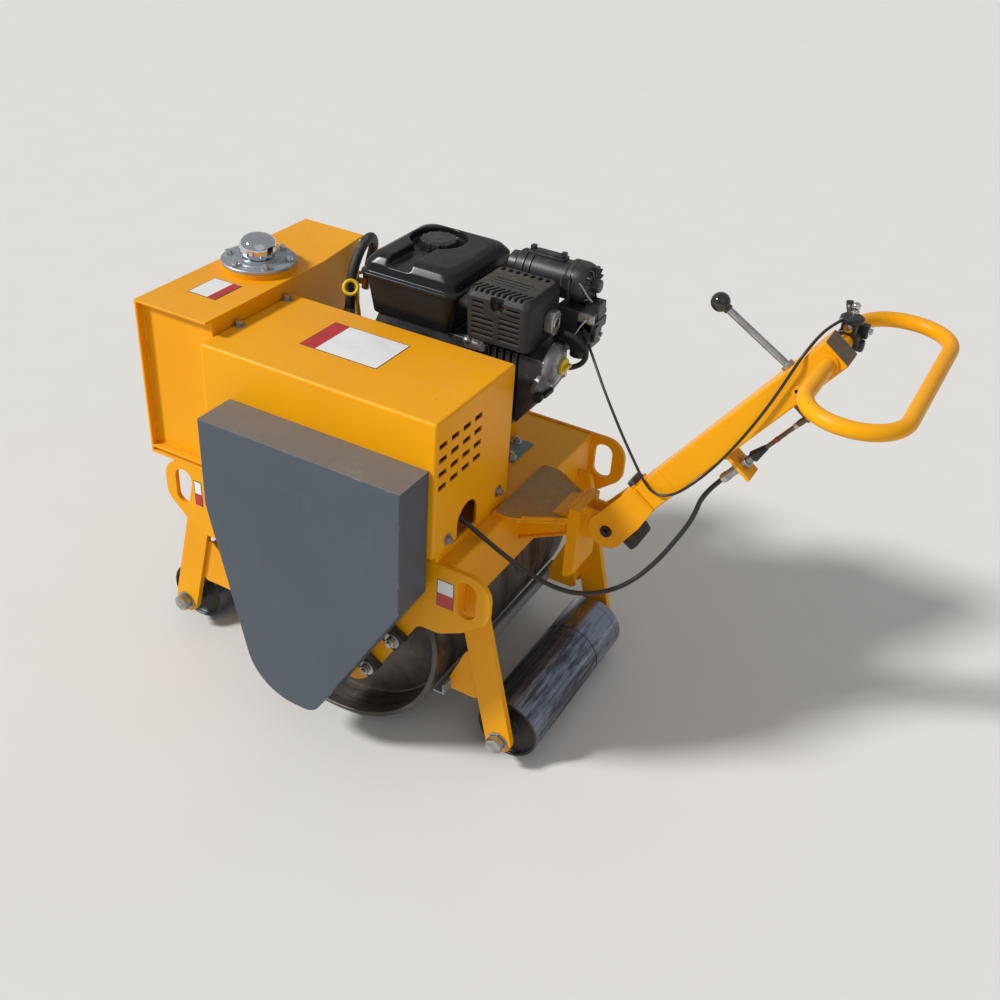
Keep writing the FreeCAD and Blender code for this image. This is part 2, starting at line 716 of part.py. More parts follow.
def engine_base():
    """Rails on both decks with the engine's plate, and upright sheets for the cover."""
    rail_top = BASE_TOP - BASE_THICK
    outline = plan_rectangle(BASE_REAR, BASE_FRONT, BASE_RIGHT, BASE_LEFT, BASE_ROUND)
    shapes = [plan_profile(outline, rail_top, BASE_TOP)]
    rail_right = BASE_RIGHT + BASE_ROUND
    for x in (BASE_REAR, BASE_FRONT - RAIL_WIDTH):
        rail = box(x, x + RAIL_WIDTH, rail_right, BASE_LEFT, DECK_TOP, rail_top)
        hollow = box(x + UPRIGHT_THICK, x + RAIL_WIDTH - UPRIGHT_THICK, rail_right - 1, BASE_LEFT + 1,
                     DECK_TOP, rail_top - UPRIGHT_THICK)
        shapes.append(rail.cut(hollow))
    rear = COVER_REAR + COVER_SHEET + SEAT_GAP
    front = COVER_FRONT - COVER_SHEET - SEAT_GAP
    left = PLATE_OUTER
    right = COVER_RIGHT + COVER_SHEET + SEAT_GAP
    sheets = plan_profile(plan_rectangle(rear, front, right, left, COVER_BEND), DECK_TOP, UPRIGHT_TOP)
    inside = plan_rectangle(rear + UPRIGHT_THICK, front - UPRIGHT_THICK, right + UPRIGHT_THICK,
                            left - UPRIGHT_THICK, 1)
    half_gap = ARCH_RADIUS + CABLE_GAP_SIDE
    cable_gap = box(rear - 1, rear + UPRIGHT_THICK + 1, ARCH_Y - half_gap, ARCH_Y + half_gap,
                    DECK_TOP + CABLE_GAP_SILL, UPRIGHT_TOP + 1)
    shapes.append(sheets.cut(plan_profile(inside, DECK_TOP - 1, UPRIGHT_TOP + 1)).cut(cable_gap))
    route = routed(CONTROL_ROUTE)
    end = route[-1]
    along = end.sub(route[-2]).normalize()
    gland = rod(end.add(along * SEAT_GAP), end.add(along * GLAND_LENGTH), FERRULE_RADIUS)
    far = end.add(along * (GLAND_LENGTH - 2))
    post = box(far.x - GLAND_POST_WIDTH / 2, far.x + GLAND_POST_WIDTH / 2, far.y - GLAND_POST_DEPTH / 2,
               far.y + GLAND_POST_DEPTH / 2, DECK_TOP, far.z)
    shapes.append(gland.fuse(post))
    whole = fuse(shapes)
    clear_drum = rod_y(DRUM_X, DRUM_RADIUS, DRUM_RADIUS + MOVING_CLEARANCE, -PLATE_INNER, PLATE_INNER)
    parts["engine_base"] = whole.cut(clear_drum)


def scraper(side):
    """Angle bar close to the drum, held by folded arms on the inner edges of two legs."""
    inner = LEG_OUTER - LEG_THICK
    rise = DRUM_RADIUS - SCRAPER_Z
    tip = DRUM_X + side * math.sqrt((DRUM_RADIUS + SCRAPER_CLEARANCE) ** 2 - rise ** 2)
    back = tip + side * SCRAPER_LEG
    wall = side * SCRAPER_WALL
    shapes = [
        box(back, tip, -SCRAPER_HALF, SCRAPER_HALF, SCRAPER_Z, SCRAPER_Z + SCRAPER_WALL),
        box(back, back - wall, -SCRAPER_HALF, SCRAPER_HALF, SCRAPER_Z, SCRAPER_Z + SCRAPER_LEG),
    ]
    lean = math.radians(LEG_LEAN)

    def leg_edge(z):
        centre = ROLLER_X - (z - ROLLER_RADIUS) * math.tan(lean)
        return side * (centre - LEG_HALF_WIDTH / math.cos(lean))

    low = SCRAPER_Z + 8
    arm = [
        (back - wall, SCRAPER_Z, 0),
        (back - wall, SCRAPER_Z + SCRAPER_LEG, 0),
        (leg_edge(SCRAPER_ARM_TOP) - side * 10, SCRAPER_ARM_TOP, 8),
        (leg_edge(SCRAPER_ARM_TOP), SCRAPER_ARM_TOP, 0),
        (leg_edge(low), low, 0),
        (leg_edge(low) - side * 10, SCRAPER_Z, 6),
    ]
    high = SCRAPER_ARM_TOP - 10
    web = [
        (leg_edge(low + 12), low + 12, 0),
        (leg_edge(high), high, 0),
        (leg_edge(high) - wall, high, 0),
        (leg_edge(low + 12) - wall, low + 12, 0),
    ]
    for end in (-1, 1):
        near = end * (LEG_OUTER - LEG_THICK / 2)
        far = end * (LEG_OUTER - LEG_THICK / 2 - SCRAPER_ARM_WIDTH)
        shapes.append(side_profile(arm, near, near - end * SCRAPER_WALL))
        shapes.append(side_profile(arm, far, far + end * SCRAPER_WALL))
        shapes.append(side_profile(web, near, far))
    return fuse(shapes)


def scrapers():
    parts["scraper_rear"] = scraper(-1)
    parts["scraper_front"] = scraper(1)


def front_tank():
    """Welded tank: a body set back behind the lips of its lid, front and floor sheets."""
    outline = [
        (TANK_FRONT, TANK_LEFT, 0),
        (TANK_REAR, TANK_LEFT, 0),
        (TANK_REAR, TANK_KINK_Y, 0),
        (TANK_REAR_RIGHT, TANK_RIGHT, 0),
        (TANK_FRONT, TANK_RIGHT, 0),
    ]
    body = [
        (TANK_FRONT - TANK_SHEET, TANK_LEFT - TANK_LIP, 0),
        (TANK_REAR, TANK_LEFT - TANK_LIP, 0),
        (TANK_REAR, TANK_KINK_Y, 0),
        (TANK_REAR_RIGHT, TANK_RIGHT + TANK_LIP, 0),
        (TANK_FRONT - TANK_SHEET, TANK_RIGHT + TANK_LIP, 0),
    ]
    ring_top = TANK_TOP + BREATHER_RING_HEIGHT
    ring = rod_z(BREATHER_X, BREATHER_Y, BREATHER_FLANGE_RADIUS + 1, TANK_TOP, ring_top)
    mouth = rod_z(BREATHER_X, BREATHER_Y, BREATHER_FLANGE_RADIUS - 14, TANK_TOP, ring_top)
    parts["front_tank"] = fuse([
        plan_profile(outline, TANK_TOP - TANK_SHEET, TANK_TOP),
        plan_profile(outline, TANK_FLANGE_TOP - TANK_SHEET, TANK_FLANGE_TOP),
        plan_profile(outline, DECK_TOP, DECK_TOP + TANK_SHEET),
        box(TANK_FRONT - TANK_SHEET, TANK_FRONT, TANK_RIGHT, TANK_LEFT, DECK_TOP, TANK_TOP),
        plan_profile(body, DECK_TOP, TANK_TOP),
        ring.cut(mouth),
    ])


def breather():
    """Bolted flange on the tank's ring, and a domed cap with a narrow neck."""
    ring_top = TANK_TOP + BREATHER_RING_HEIGHT
    flange_top = ring_top + BREATHER_FLANGE_THICK
    parts["breather_flange"] = rod_z(BREATHER_X, BREATHER_Y, BREATHER_FLANGE_RADIUS, ring_top, flange_top)
    neck = BREATHER_DOME_RADIUS - 8
    skirt = flange_top + BREATHER_NECK
    crown = BREATHER_TOP - 14
    side = BREATHER_DOME_RADIUS - 5
    profile = [
        Part.LineSegment(Vector(0, 0, flange_top), Vector(neck, 0, flange_top)),
        Part.LineSegment(Vector(neck, 0, flange_top), Vector(neck, 0, skirt)),
        Part.LineSegment(Vector(neck, 0, skirt), Vector(BREATHER_DOME_RADIUS, 0, skirt)),
        Part.LineSegment(Vector(BREATHER_DOME_RADIUS, 0, skirt), Vector(BREATHER_DOME_RADIUS, 0, crown)),
        Part.Arc(Vector(BREATHER_DOME_RADIUS, 0, crown), Vector(side, 0, BREATHER_TOP - 4),
                 Vector(side - 12, 0, BREATHER_TOP)),
        Part.LineSegment(Vector(side - 12, 0, BREATHER_TOP), Vector(0, 0, BREATHER_TOP)),
        Part.LineSegment(Vector(0, 0, BREATHER_TOP), Vector(0, 0, flange_top)),
    ]
    wire = Part.Wire([curve.toShape() for curve in profile])
    dome = Part.Face(wire).revolve(Vector(0, 0, 0), Vector(0, 0, 1), 360)
    dome.translate(Vector(BREATHER_X, BREATHER_Y, 0))
    parts["breather_cap"] = dome


def belt_cover():
    """Folded sheet cover, open below, with a slot grille and an arch for the cable."""
    outer = box(COVER_REAR, COVER_FRONT, COVER_RIGHT, COVER_LEFT, COVER_BOTTOM, COVER_TOP)
    folds = [edge for edge in outer.Edges if edge.CenterOfMass.z > COVER_BOTTOM + 1]
    outer = outer.makeFillet(COVER_BEND, folds)
    inner = box(COVER_REAR + COVER_SHEET, COVER_FRONT - COVER_SHEET, COVER_RIGHT + COVER_SHEET,
                COVER_LEFT - COVER_SHEET, COVER_BOTTOM, COVER_TOP - COVER_SHEET)
    folds = [edge for edge in inner.Edges if edge.CenterOfMass.z > COVER_BOTTOM + 1]
    inner = inner.makeFillet(COVER_BEND - COVER_SHEET, folds)
    cover = outer.cut(inner)
    cuts = []
    for column in range(VENT_COLUMNS):
        for row in range(VENT_ROWS):
            y = VENT_Y - column * VENT_PITCH_Y
            z = VENT_Z - row * VENT_PITCH_Z
            cuts.append(box(COVER_REAR - 1, COVER_REAR + COVER_SHEET + 1, y - VENT_WIDTH / 2, y + VENT_WIDTH / 2,
                            z - VENT_HEIGHT / 2, z + VENT_HEIGHT / 2))
    start = Vector(COVER_REAR - 1, ARCH_Y, ARCH_SPRING_Z)
    cuts.append(Part.makeCylinder(ARCH_RADIUS, COVER_SHEET + 2, start, Vector(1, 0, 0)))
    cuts.append(box(COVER_REAR - 1, COVER_REAR + COVER_SHEET + 1, ARCH_Y - ARCH_RADIUS, ARCH_Y + ARCH_RADIUS,
                    COVER_BOTTOM - 1, ARCH_SPRING_Z))
    for shape in cuts:
        cover = cover.cut(shape)
    parts["belt_cover"] = cover


def chain_case():
    """Closed case, its lower half tapered to a nose round the drum's sprocket."""
    case = side_profile([
        (CASE_REAR, CASE_TOP, 0),
        (CASE_FRONT, CASE_TOP, 0),
        (CASE_FRONT, CASE_FRONT_LOW, 60),
        (CASE_NOSE_FRONT, CASE_BOTTOM, 108),
        (CASE_NOSE_REAR, CASE_BOTTOM, 40),
        (CASE_REAR, CASE_REAR_LOW, 0),
    ], CASE_INNER, CASE_OUTER)
    rim = [edge for edge in case.Edges if abs(edge.CenterOfMass.y - CASE_OUTER) < 0.01]
    parts["chain_case"] = case.makeChamfer(CASE_EDGE / 2, rim)


def engine():
    """Crankcase on feet with its shaft, finned cylinder and head, and recoil starter."""
    base = BASE_TOP
    feet = []
    for x0, x1 in FEET_X:
        feet.append(box(x0, x1, FOOT_RIGHT, FOOT_LEFT, base, base + FOOT_HEIGHT))
    sections = []
    for height, x0, x1, y0, y1, radius in CRANKCASE_SECTIONS:
        sections.append((base + height, x0, x1, y0, y1, radius))
    crankcase = plan_loft(sections)
    shaft = rod_y(CRANK_X, CRANK_Z, CRANK_RADIUS, SHAFT_START, COVER_RIGHT - SEAT_GAP)
    parts["engine_crankcase"] = fuse([crankcase, shaft] + feet)
    outline = []
    for x, height, radius in CYLINDER_OUTLINE:
        outline.append((x, base + height, radius))
    cylinder = side_profile(outline, CYLINDER_RIGHT, CYLINDER_LEFT)
    for step in range(FIN_COUNT):
        x = FIN_START + step * FIN_PITCH
        rim = box(x, x + FIN_GAP, CYLINDER_RIGHT - 1, CYLINDER_LEFT + 1, CYLINDER_LOW - 1, HEAD_TOP + 1)
        core = box(x - 1, x + FIN_GAP + 1, CYLINDER_RIGHT + FIN_DEPTH, CYLINDER_LEFT - FIN_DEPTH,
                   CYLINDER_LOW + FIN_DEPTH, HEAD_TOP - FIN_DEPTH)
        cylinder = cylinder.cut(rim.cut(core))
    parts["engine_cylinder"] = cylinder.cut(crankcase)
    face = Vector(CRANK_X, CRANKCASE_RIGHT - SEAT_GAP, CRANK_Z)
    starter = Part.makeCylinder(STARTER_RADIUS, STARTER_DEPTH, face, Vector(0, -1, 0))
    rim = [edge for edge in starter.Edges if edge.CenterOfMass.y < face.y - STARTER_DEPTH / 2]
    parts["recoil_starter"] = starter.makeFillet(STARTER_ROUND, rim)


def fuel_tank():
    """Two pressings with a rolled seam, a pocket round the cap and a ribbed cap."""
    lower = plan_loft([
        (FUEL_BOTTOM, FUEL_REAR + 21, FUEL_FRONT - 20, FUEL_RIGHT + 21, FUEL_LEFT - 20, 14),
        (FUEL_SEAM_LOW, FUEL_REAR + 8, FUEL_FRONT - 8, FUEL_RIGHT + 9, FUEL_LEFT - 10, 20),
    ])
    outline = plan_rectangle(FUEL_REAR, FUEL_FRONT, FUEL_RIGHT, FUEL_LEFT, FUEL_CORNER)
    seam = plan_profile(outline, FUEL_SEAM_LOW, FUEL_SEAM_TOP)
    upper = plan_loft([
        (FUEL_SEAM_TOP, FUEL_REAR + 6, FUEL_FRONT - 6, FUEL_RIGHT + 7, FUEL_LEFT - 7, 20),
        (FUEL_TOP - 19, FUEL_REAR + 9, FUEL_FRONT - 8, FUEL_RIGHT + 9, FUEL_LEFT - 10, 20),
        (FUEL_TOP - 5, FUEL_REAR + 19, FUEL_FRONT - 18, FUEL_RIGHT + 19, FUEL_LEFT - 20, 24),
        (FUEL_TOP, FUEL_REAR + 31, FUEL_FRONT - 30, FUEL_RIGHT + 31, FUEL_LEFT - 32, 26),
    ])
    pocket = rod_z(CAP_X, CAP_Y, CAP_POCKET_RADIUS, CAP_SEAT, FUEL_TOP + 5)
    channel = box(CAP_X - CHANNEL_HALF, CAP_X + CHANNEL_HALF, CAP_Y, FUEL_LEFT + 20, CAP_SEAT, FUEL_TOP + 5)
    parts["fuel_tank"] = fuse([lower, seam, upper]).cut(pocket.fuse(channel))
    cap = rod_z(CAP_X, CAP_Y, CAP_RADIUS, CAP_SEAT, CAP_TOP)
    reach = CAP_RADIUS + CAP_FLUTE_RADIUS * 0.4
    for step in range(CAP_FLUTES):
        angle = math.radians(360 / CAP_FLUTES * step)
        cap = cap.cut(rod_z(CAP_X + reach * math.cos(angle), CAP_Y + reach * math.sin(angle),
                            CAP_FLUTE_RADIUS, CAP_SEAT, CAP_TOP - CAP_FLUTE_RADIUS))
    parts["fuel_cap"] = cap


def muffler():
    """Slotted guard on the exhaust pipe, and the outlet box behind it."""
    guard = plan_loft([
        (GUARD_BOTTOM, GUARD_REAR, GUARD_FRONT - 4, GUARD_RIGHT + 4, GUARD_LEFT - 3, 12),
        (GUARD_SHOULDER, GUARD_REAR, GUARD_FRONT, GUARD_RIGHT, GUARD_LEFT, 14),
        (GUARD_TOP, GUARD_REAR + 8, GUARD_FRONT - 8, GUARD_RIGHT + 8, GUARD_LEFT - 11, 14),
    ])
    for row in range(GUARD_ROWS):
        z = GUARD_SLOT_Z + row * GUARD_SLOT_PITCH
        front = GUARD_SLOTS_FRONT if row < GUARD_ROWS / 2 else GUARD_SLOTS_SHORT
        for x0, x1 in (GUARD_SLOTS_REAR, front):
            guard = guard.cut(box(x0, x1, GUARD_LEFT - 11, GUARD_LEFT + 9, z, z + GUARD_SLOT_HEIGHT))
    pipe = rod_z(PIPE_PLACE[0], PIPE_PLACE[1], PIPE_RADIUS, HEAD_TOP + SEAT_GAP, GUARD_BOTTOM)
    parts["muffler_guard"] = guard.fuse(pipe).removeSplitter()
    parts["muffler_outlet"] = box(GUARD_REAR - OUTLET_DEPTH, GUARD_REAR - SEAT_GAP, OUTLET_Y[0], OUTLET_Y[1],
                                  OUTLET_Z[0], OUTLET_Z[1])


def intake():
    """Round air cleaner over the carburettor with its bowl and cable holder."""
    rear = Vector(-1, 0, 0)
    shapes = []
    for x, length, radius in CLEANER_STEPS:
        shapes.append(Part.makeCylinder(radius, length, Vector(x, CLEANER_Y, CLEANER_Z), rear))
    parts["air_cleaner"] = fuse(shapes)
    top = CLEANER_Z - CLEANER_STEPS[2][2] - SEAT_GAP
    body = side_profile([
        (CARB_FRONT, CARB_BOTTOM, 10),
        (CARB_REAR + 2, CARB_BOTTOM, 14),
        (CARB_REAR, top, 4),
        (CARB_FRONT, top, 4),
    ], CARB_Y[0], CARB_Y[1])
    bowl = rod_z(BOWL_X, (CARB_Y[0] + CARB_Y[1]) / 2, BOWL_RADIUS, BOWL_BOTTOM, CARB_BOTTOM + 2)
    inlet = rod_y(INLET_X, INLET_Z, INLET_RADIUS, CARB_Y[1], CYLINDER_RIGHT - SEAT_GAP)
    route = routed(THROTTLE_ROUTE)
    end = route[-1]
    along = end.sub(route[-2]).normalize()
    holder = rod(end.add(along * SEAT_GAP), end.add(along * HOLDER_LENGTH), HOLDER_RADIUS)
    parts["carburettor"] = fuse([body, bowl, inlet, holder])
    parts["oil_cap"] = rod(Vector(HEAD_REAR - SEAT_GAP, OIL_CAP_Y, OIL_CAP_Z),
                           Vector(HEAD_REAR - OIL_CAP_DEPTH, OIL_CAP_Y, OIL_CAP_Z), OIL_CAP_RADIUS)


def hose():
    """Thick hose that rises from the pump, turns over and comes down to the tank."""
    points = routed(HOSE_ROUTE)
    parts["tank_hose"] = cord(points, HOSE_RADIUS, "tank_hose")
    start = points[0]
    back = start.sub(points[1]).normalize()
    stub = rod(start.add(back * SEAT_GAP), start.add(back * STUB_LENGTH), FITTING_RADIUS)
    pump = rod_z(start.x, PUMP_Y, PUMP_RADIUS, DECK_TOP, PUMP_TOP)
    end = points[-1]
    ahead = end.sub(points[-2]).normalize()
    elbow = rod(end.add(ahead * SEAT_GAP), end.add(ahead * ELBOW_LENGTH), FITTING_RADIUS)
    middle = end.add(ahead * (ELBOW_LENGTH / 2))
    nipple = rod(middle, Vector(TANK_REAR_RIGHT + 2, middle.y, middle.z), NIPPLE_RADIUS).cut(parts["front_tank"])
    parts["hose_fittings"] = Part.makeCompound([fuse([stub, pump]), fuse([elbow, nipple])])


def handle_bracket():
    """Box arm with a rounded top gusset, ending in the clevis that holds the hinge pin."""
    face = -BEAM_REAR_X
    ear_outer = HINGE_PLATE_OUTER - HINGE_PLATE_THICK - CLEVIS_GAP
    ear_inner = ear_outer - CLEVIS_THICK
    rear = ARM_END - POST_DEPTH
    arm = side_profile([
        (face, ARM_LOW, 0),
        (face, ARM_HIGH, 0),
        (ARM_END, ARM_END_HIGH, 0),
        (ARM_END, ARM_END_LOW, 0),
    ], -ARM_HALF, ARM_HALF)
    gusset = plan_profile([
        (face + GUSSET_REACH, GUSSET_HALF, 0),
        (face - GUSSET_REACH / 2, GUSSET_HALF, GUSSET_BEND),
        (ARM_END, GUSSET_END_HALF, 0),
        (ARM_END, -GUSSET_END_HALF, 0),
        (face - GUSSET_REACH / 2, -GUSSET_HALF, GUSSET_BEND),
        (face + GUSSET_REACH, -GUSSET_HALF, 0),
    ], DECK_TOP, DECK_TOP + GUSSET_THICK)
    post = side_profile([
        (ARM_END, POST_BOTTOM, 0),
        (ARM_END, POST_TOP, 0),
        (rear, POST_TOP, 0),
        (rear, POST_BOTTOM + POST_CHAMFER, 0),
        (rear + POST_CHAMFER, POST_BOTTOM, 0),
    ], -POST_HALF, POST_HALF)
    shapes = [arm, gusset, post]
    for side in (-1, 1):
        ear = side_profile([
            (rear, HINGE_Z - EAR_RADIUS - 12, 0),
            (rear, POST_TOP - 2, 0),
            (HINGE_X, HINGE_Z + EAR_RADIUS, 0),
            (HINGE_X, HINGE_Z - EAR_RADIUS, 0),
        ], side * ear_inner, side * ear_outer)
        shapes.append(ear)
        shapes.append(rod_y(HINGE_X, HINGE_Z, EAR_RADIUS, side * ear_inner, side * ear_outer))
    whole = fuse(shapes)
    parts["handle_bracket"] = whole.cut(rod_y(HINGE_X, HINGE_Z, HINGE_PIN_RADIUS + RUNNING_FIT, -60, 60))


def handle():
    """Hinge plates, box beam with a sleeve step, pin and the grip loop."""
    low = HANDLE_OFFSET - HANDLE_DEPTH / 2
    high = HANDLE_OFFSET + HANDLE_DEPTH / 2
    half = HANDLE_WIDTH / 2
    shapes = []
    for side in (1, -1):
        inner = side * (HINGE_PLATE_OUTER - HINGE_PLATE_THICK)
        outer = side * HINGE_PLATE_OUTER
        plate = handle_profile([
            (0, 1 - HINGE_EYE_RADIUS, 0),
            (HINGE_PLATE_SHOULDER, low - 10, 0),
            (SLEEVE_START - 4, low, 0),
            (SLEEVE_START, low, 0),
            (SLEEVE_START, high, 0),
            (HINGE_PLATE_END, high + 3, 0),
            (0, HINGE_EYE_RADIUS - 1, 0),
        ], inner, outer)
        plate = plate.fuse(rod_y(HINGE_X, HINGE_Z, HINGE_EYE_RADIUS, inner, outer)).removeSplitter()
        plate = plate.cut(rod_y(HINGE_X, HINGE_Z, HINGE_PIN_RADIUS + RUNNING_FIT, inner - side, outer + side))
        shapes.append(plate)
    beam = handle_profile([
        (SLEEVE_START, low, 0),
        (SLEEVE_START, high, 0),
        (HANDLE_END, high, 0),
        (HANDLE_END, low, 0),
    ], -half, half)
    beam = beam.makeFillet(HANDLE_EDGE, [edge for edge in beam.Edges if edge.Length > HANDLE_END / 2])
    groove = handle_profile([
        (STEP_AT, low - 1, 0),
        (STEP_AT, high + 1, 0),
        (STEP_AT + STEP_WIDTH, high + 1, 0),
        (STEP_AT + STEP_WIDTH, low - 1, 0),
    ], half - STEP_DEPTH, half + 1)
    shapes.append(beam.cut(groove).cut(mirror_y(groove)))
    parts["hinge_pin"] = rod_y(HINGE_X, HINGE_Z, HINGE_PIN_RADIUS, -HINGE_PLATE_OUTER - 4, HINGE_PLATE_OUTER + 4)
    web = handle_profile([
        (HINGE_PLATE_END + 6, high - WEB_DROP, 0),
        (HINGE_PLATE_END + 6, high + WEB_RISE, 0),
        (SLEEVE_START, high + WEB_RISE, 0),
        (SLEEVE_START, high - WEB_DROP, 0),
    ], -HINGE_PLATE_OUTER, HINGE_PLATE_OUTER)
    shapes.append(web)
    saddle_end = SADDLE_AT + SADDLE_THICK
    saddle = handle_profile([
        (SADDLE_AT, low, 0),
        (saddle_end, low, 0),
        (saddle_end, CABLE_OFFSET - SADDLE_REACH, 2),
        (SADDLE_AT, CABLE_OFFSET - SADDLE_REACH, 2),
    ], -SADDLE_HALF, SADDLE_HALF)
    hole = rod(handle_point(SADDLE_AT - 5, CABLE_OFFSET), handle_point(saddle_end + 5, CABLE_OFFSET),
               FERRULE_RADIUS + RUNNING_FIT)
    shapes.append(saddle.cut(hole))
    parts["handle_beam"] = fuse(shapes)


def grip_loop():
    """Tube loop whose two ends meet the sides of the beam."""
    half = HANDLE_WIDTH / 2
    corners = [
        Vector(LOOP_FRONT, half, LOOP_Z),
        Vector(LOOP_FRONT, LOOP_HALF, LOOP_Z),
        Vector(LOOP_REAR, LOOP_HALF, LOOP_Z),
        Vector(LOOP_REAR, -LOOP_HALF, LOOP_Z),
        Vector(LOOP_FRONT, -LOOP_HALF, LOOP_Z),
        Vector(LOOP_FRONT, -half, LOOP_Z),
    ]
    edges = []
    start = corners[0]
    for index in range(1, len(corners) - 1):
        here = corners[index]
        back = corners[index - 1].sub(here).normalize()
        ahead = corners[index + 1].sub(here).normalize()
        first = here.add(back * LOOP_BEND)
        last = here.add(ahead * LOOP_BEND)
        near = here.add(back.add(ahead) * (LOOP_BEND * (1 - math.sqrt(0.5))))
        edges.append(Part.LineSegment(start, first).toShape())
        edges.append(Part.Arc(first, near, last).toShape())
        start = last
    edges.append(Part.LineSegment(start, corners[-1]).toShape())
    path = Part.Wire(edges)
    circle = Part.Wire([Part.makeCircle(LOOP_TUBE, corners[0], Vector(0, 1, 0))])
    parts["grip_loop"] = path.makePipeShell([circle], True, False)


def controls():
    """Direction lever with its knob and tail, and the throttle clamp on the loop."""
    high = HANDLE_OFFSET + HANDLE_DEPTH / 2
    low = HANDLE_OFFSET - HANDLE_DEPTH / 2
    foot = handle_point(LEVER_AT, high)
    knob = Vector(KNOB_X, 0, KNOB_Z)
    ball = Part.makeSphere(KNOB_RADIUS, knob)
    reach = HANDLE_DEPTH * 0.75
    inside = handle_profile([
        (LEVER_AT - reach, high - reach, 0),
        (LEVER_AT - reach, high, 0),
        (LEVER_AT + reach, high, 0),
        (LEVER_AT + reach, high - reach, 0),
    ], -HANDLE_WIDTH / 2, HANDLE_WIDTH / 2)
    lever = rod(foot, knob, LEVER_RADIUS).cut(ball).cut(inside)
    parts["lever_knob"] = ball
    tail = handle_profile([
        (PUSH_ROD_END - EYE_HALF, low - SEAT_GAP, 0),
        (PUSH_ROD_END + EYE_HALF, low - SEAT_GAP, 0),
        (PUSH_ROD_END + EYE_HALF, CABLE_OFFSET - EYE_HALF, EYE_HALF / 2),
        (PUSH_ROD_END - EYE_HALF, CABLE_OFFSET - EYE_HALF, EYE_HALF / 2),
    ], -PUSH_ROD_RADIUS, PUSH_ROD_RADIUS)
    seat = rod(handle_point(PUSH_ROD_END - 2 * EYE_HALF, CABLE_OFFSET),
               handle_point(PUSH_ROD_END + NUT_GAP, CABLE_OFFSET), PUSH_ROD_RADIUS + NUT_GAP)
    parts["control_lever"] = Part.makeCompound([lever, tail.cut(seat)])
    bore = rod_y(LOOP_FRONT, LOOP_Z, LOOP_TUBE + RUNNING_FIT, CLAMP_Y[0] - 2, CLAMP_Y[1] + 2)
    ring = rod_y(LOOP_FRONT, LOOP_Z, LOOP_TUBE + CLAMP_WALL, CLAMP_Y[0], CLAMP_Y[1])
    middle = (CLAMP_Y[0] + CLAMP_Y[1]) / 2
    thumb = rod(Vector(LOOP_FRONT, middle, LOOP_Z + THUMB_LOW),
                Vector(LOOP_FRONT + THUMB_LEAN, middle, LOOP_Z + THUMB_HIGH), THUMB_RADIUS)
    first, second = routed(THROTTLE_ROUTE[:2])
    ahead = second.sub(first).normalize()
    barrel = rod(first.sub(ahead * BARREL_LENGTH), first.sub(ahead * SEAT_GAP), BARREL_RADIUS)
    parts["throttle_clamp"] = fuse([ring, thumb, barrel]).cut(bore)


def cable_fitting():
    """Ferrule with two nuts on the bracket, and the push rod to the lever's tail."""
    saddle_end = SADDLE_AT + SADDLE_THICK

    def along(start, end, radius):
        return rod(handle_point(start, CABLE_OFFSET), handle_point(end, CABLE_OFFSET), radius)

    parts["cable_fitting"] = fuse([
        along(FERRULE_START + SEAT_GAP, FERRULE_END, FERRULE_RADIUS),
        along(FERRULE_END, PUSH_ROD_END, PUSH_ROD_RADIUS),
        along(SADDLE_AT - NUT_THICK, SADDLE_AT - NUT_GAP, NUT_RADIUS),
        along(saddle_end + NUT_GAP, saddle_end + NUT_THICK, NUT_RADIUS),
    ])


def rubber_stop():
    """Rubber buffer on the lower edges of the hinge plates."""
    seat = -HINGE_EYE_RADIUS
    low = HANDLE_OFFSET - HANDLE_DEPTH / 2
    corners = []
    for reach, drop, radius in STOP_OUTLINE:
        corners.append((reach, seat - drop, radius))
    stop = handle_profile(corners, -HINGE_PLATE_OUTER, HINGE_PLATE_OUTER)
    width = HINGE_PLATE_OUTER * 2
    swept = rod_y(HINGE_X, HINGE_Z, HINGE_EYE_RADIUS + SEAT_GAP, -width, width)
    plates = handle_profile([
        (-1, 0, 0),
        (-1, seat + 1 - SEAT_GAP, 0),
        (HINGE_PLATE_SHOULDER, low - 10 - SEAT_GAP, 0),
        (HINGE_PLATE_SHOULDER, 0, 0),
    ], -width, width)
    parts["rubber_stop"] = stop.cut(swept).cut(plates)


def cables():
    """Hanging control cable and thin throttle cable."""
    start = handle_point(FERRULE_START, CABLE_OFFSET)
    parts["control_cable"] = cord([start] + routed(CONTROL_ROUTE), CABLE_RADIUS, "control_cable")
    parts["throttle_cable"] = cord(routed(THROTTLE_ROUTE), THROTTLE_RADIUS, "throttle_cable")


def main():
    os.makedirs("parts", exist_ok=True)
    for build in (drum, axles, side_plates, rubber_mounts, legs, rollers, decks, engine_base, scrapers,
                  front_tank, breather, belt_cover, chain_case, engine, fuel_tank, muffler, intake, hose,
                  handle_bracket, handle, grip_loop, controls, cable_fitting, rubber_stop, cables):
        build()
    move = shift()
    print("origin moved by", move)
    for name, shape in parts.items():
        placed = shape.copy()
        placed.translate(move)
        if not placed.isValid():
            print("invalid", name)
        placed.exportStep("parts/" + name + ".step")
        bounds = placed.BoundBox
        print(name, len(placed.Solids), [round(v, 1) for v in (bounds.XMin, bounds.XMax, bounds.YMin,
                                                               bounds.YMax, bounds.ZMin, bounds.ZMax)])


if __name__ == "__main__":
    main()
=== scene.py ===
import bmesh
import bpy
import json
import math
from mathutils import Matrix, Vector


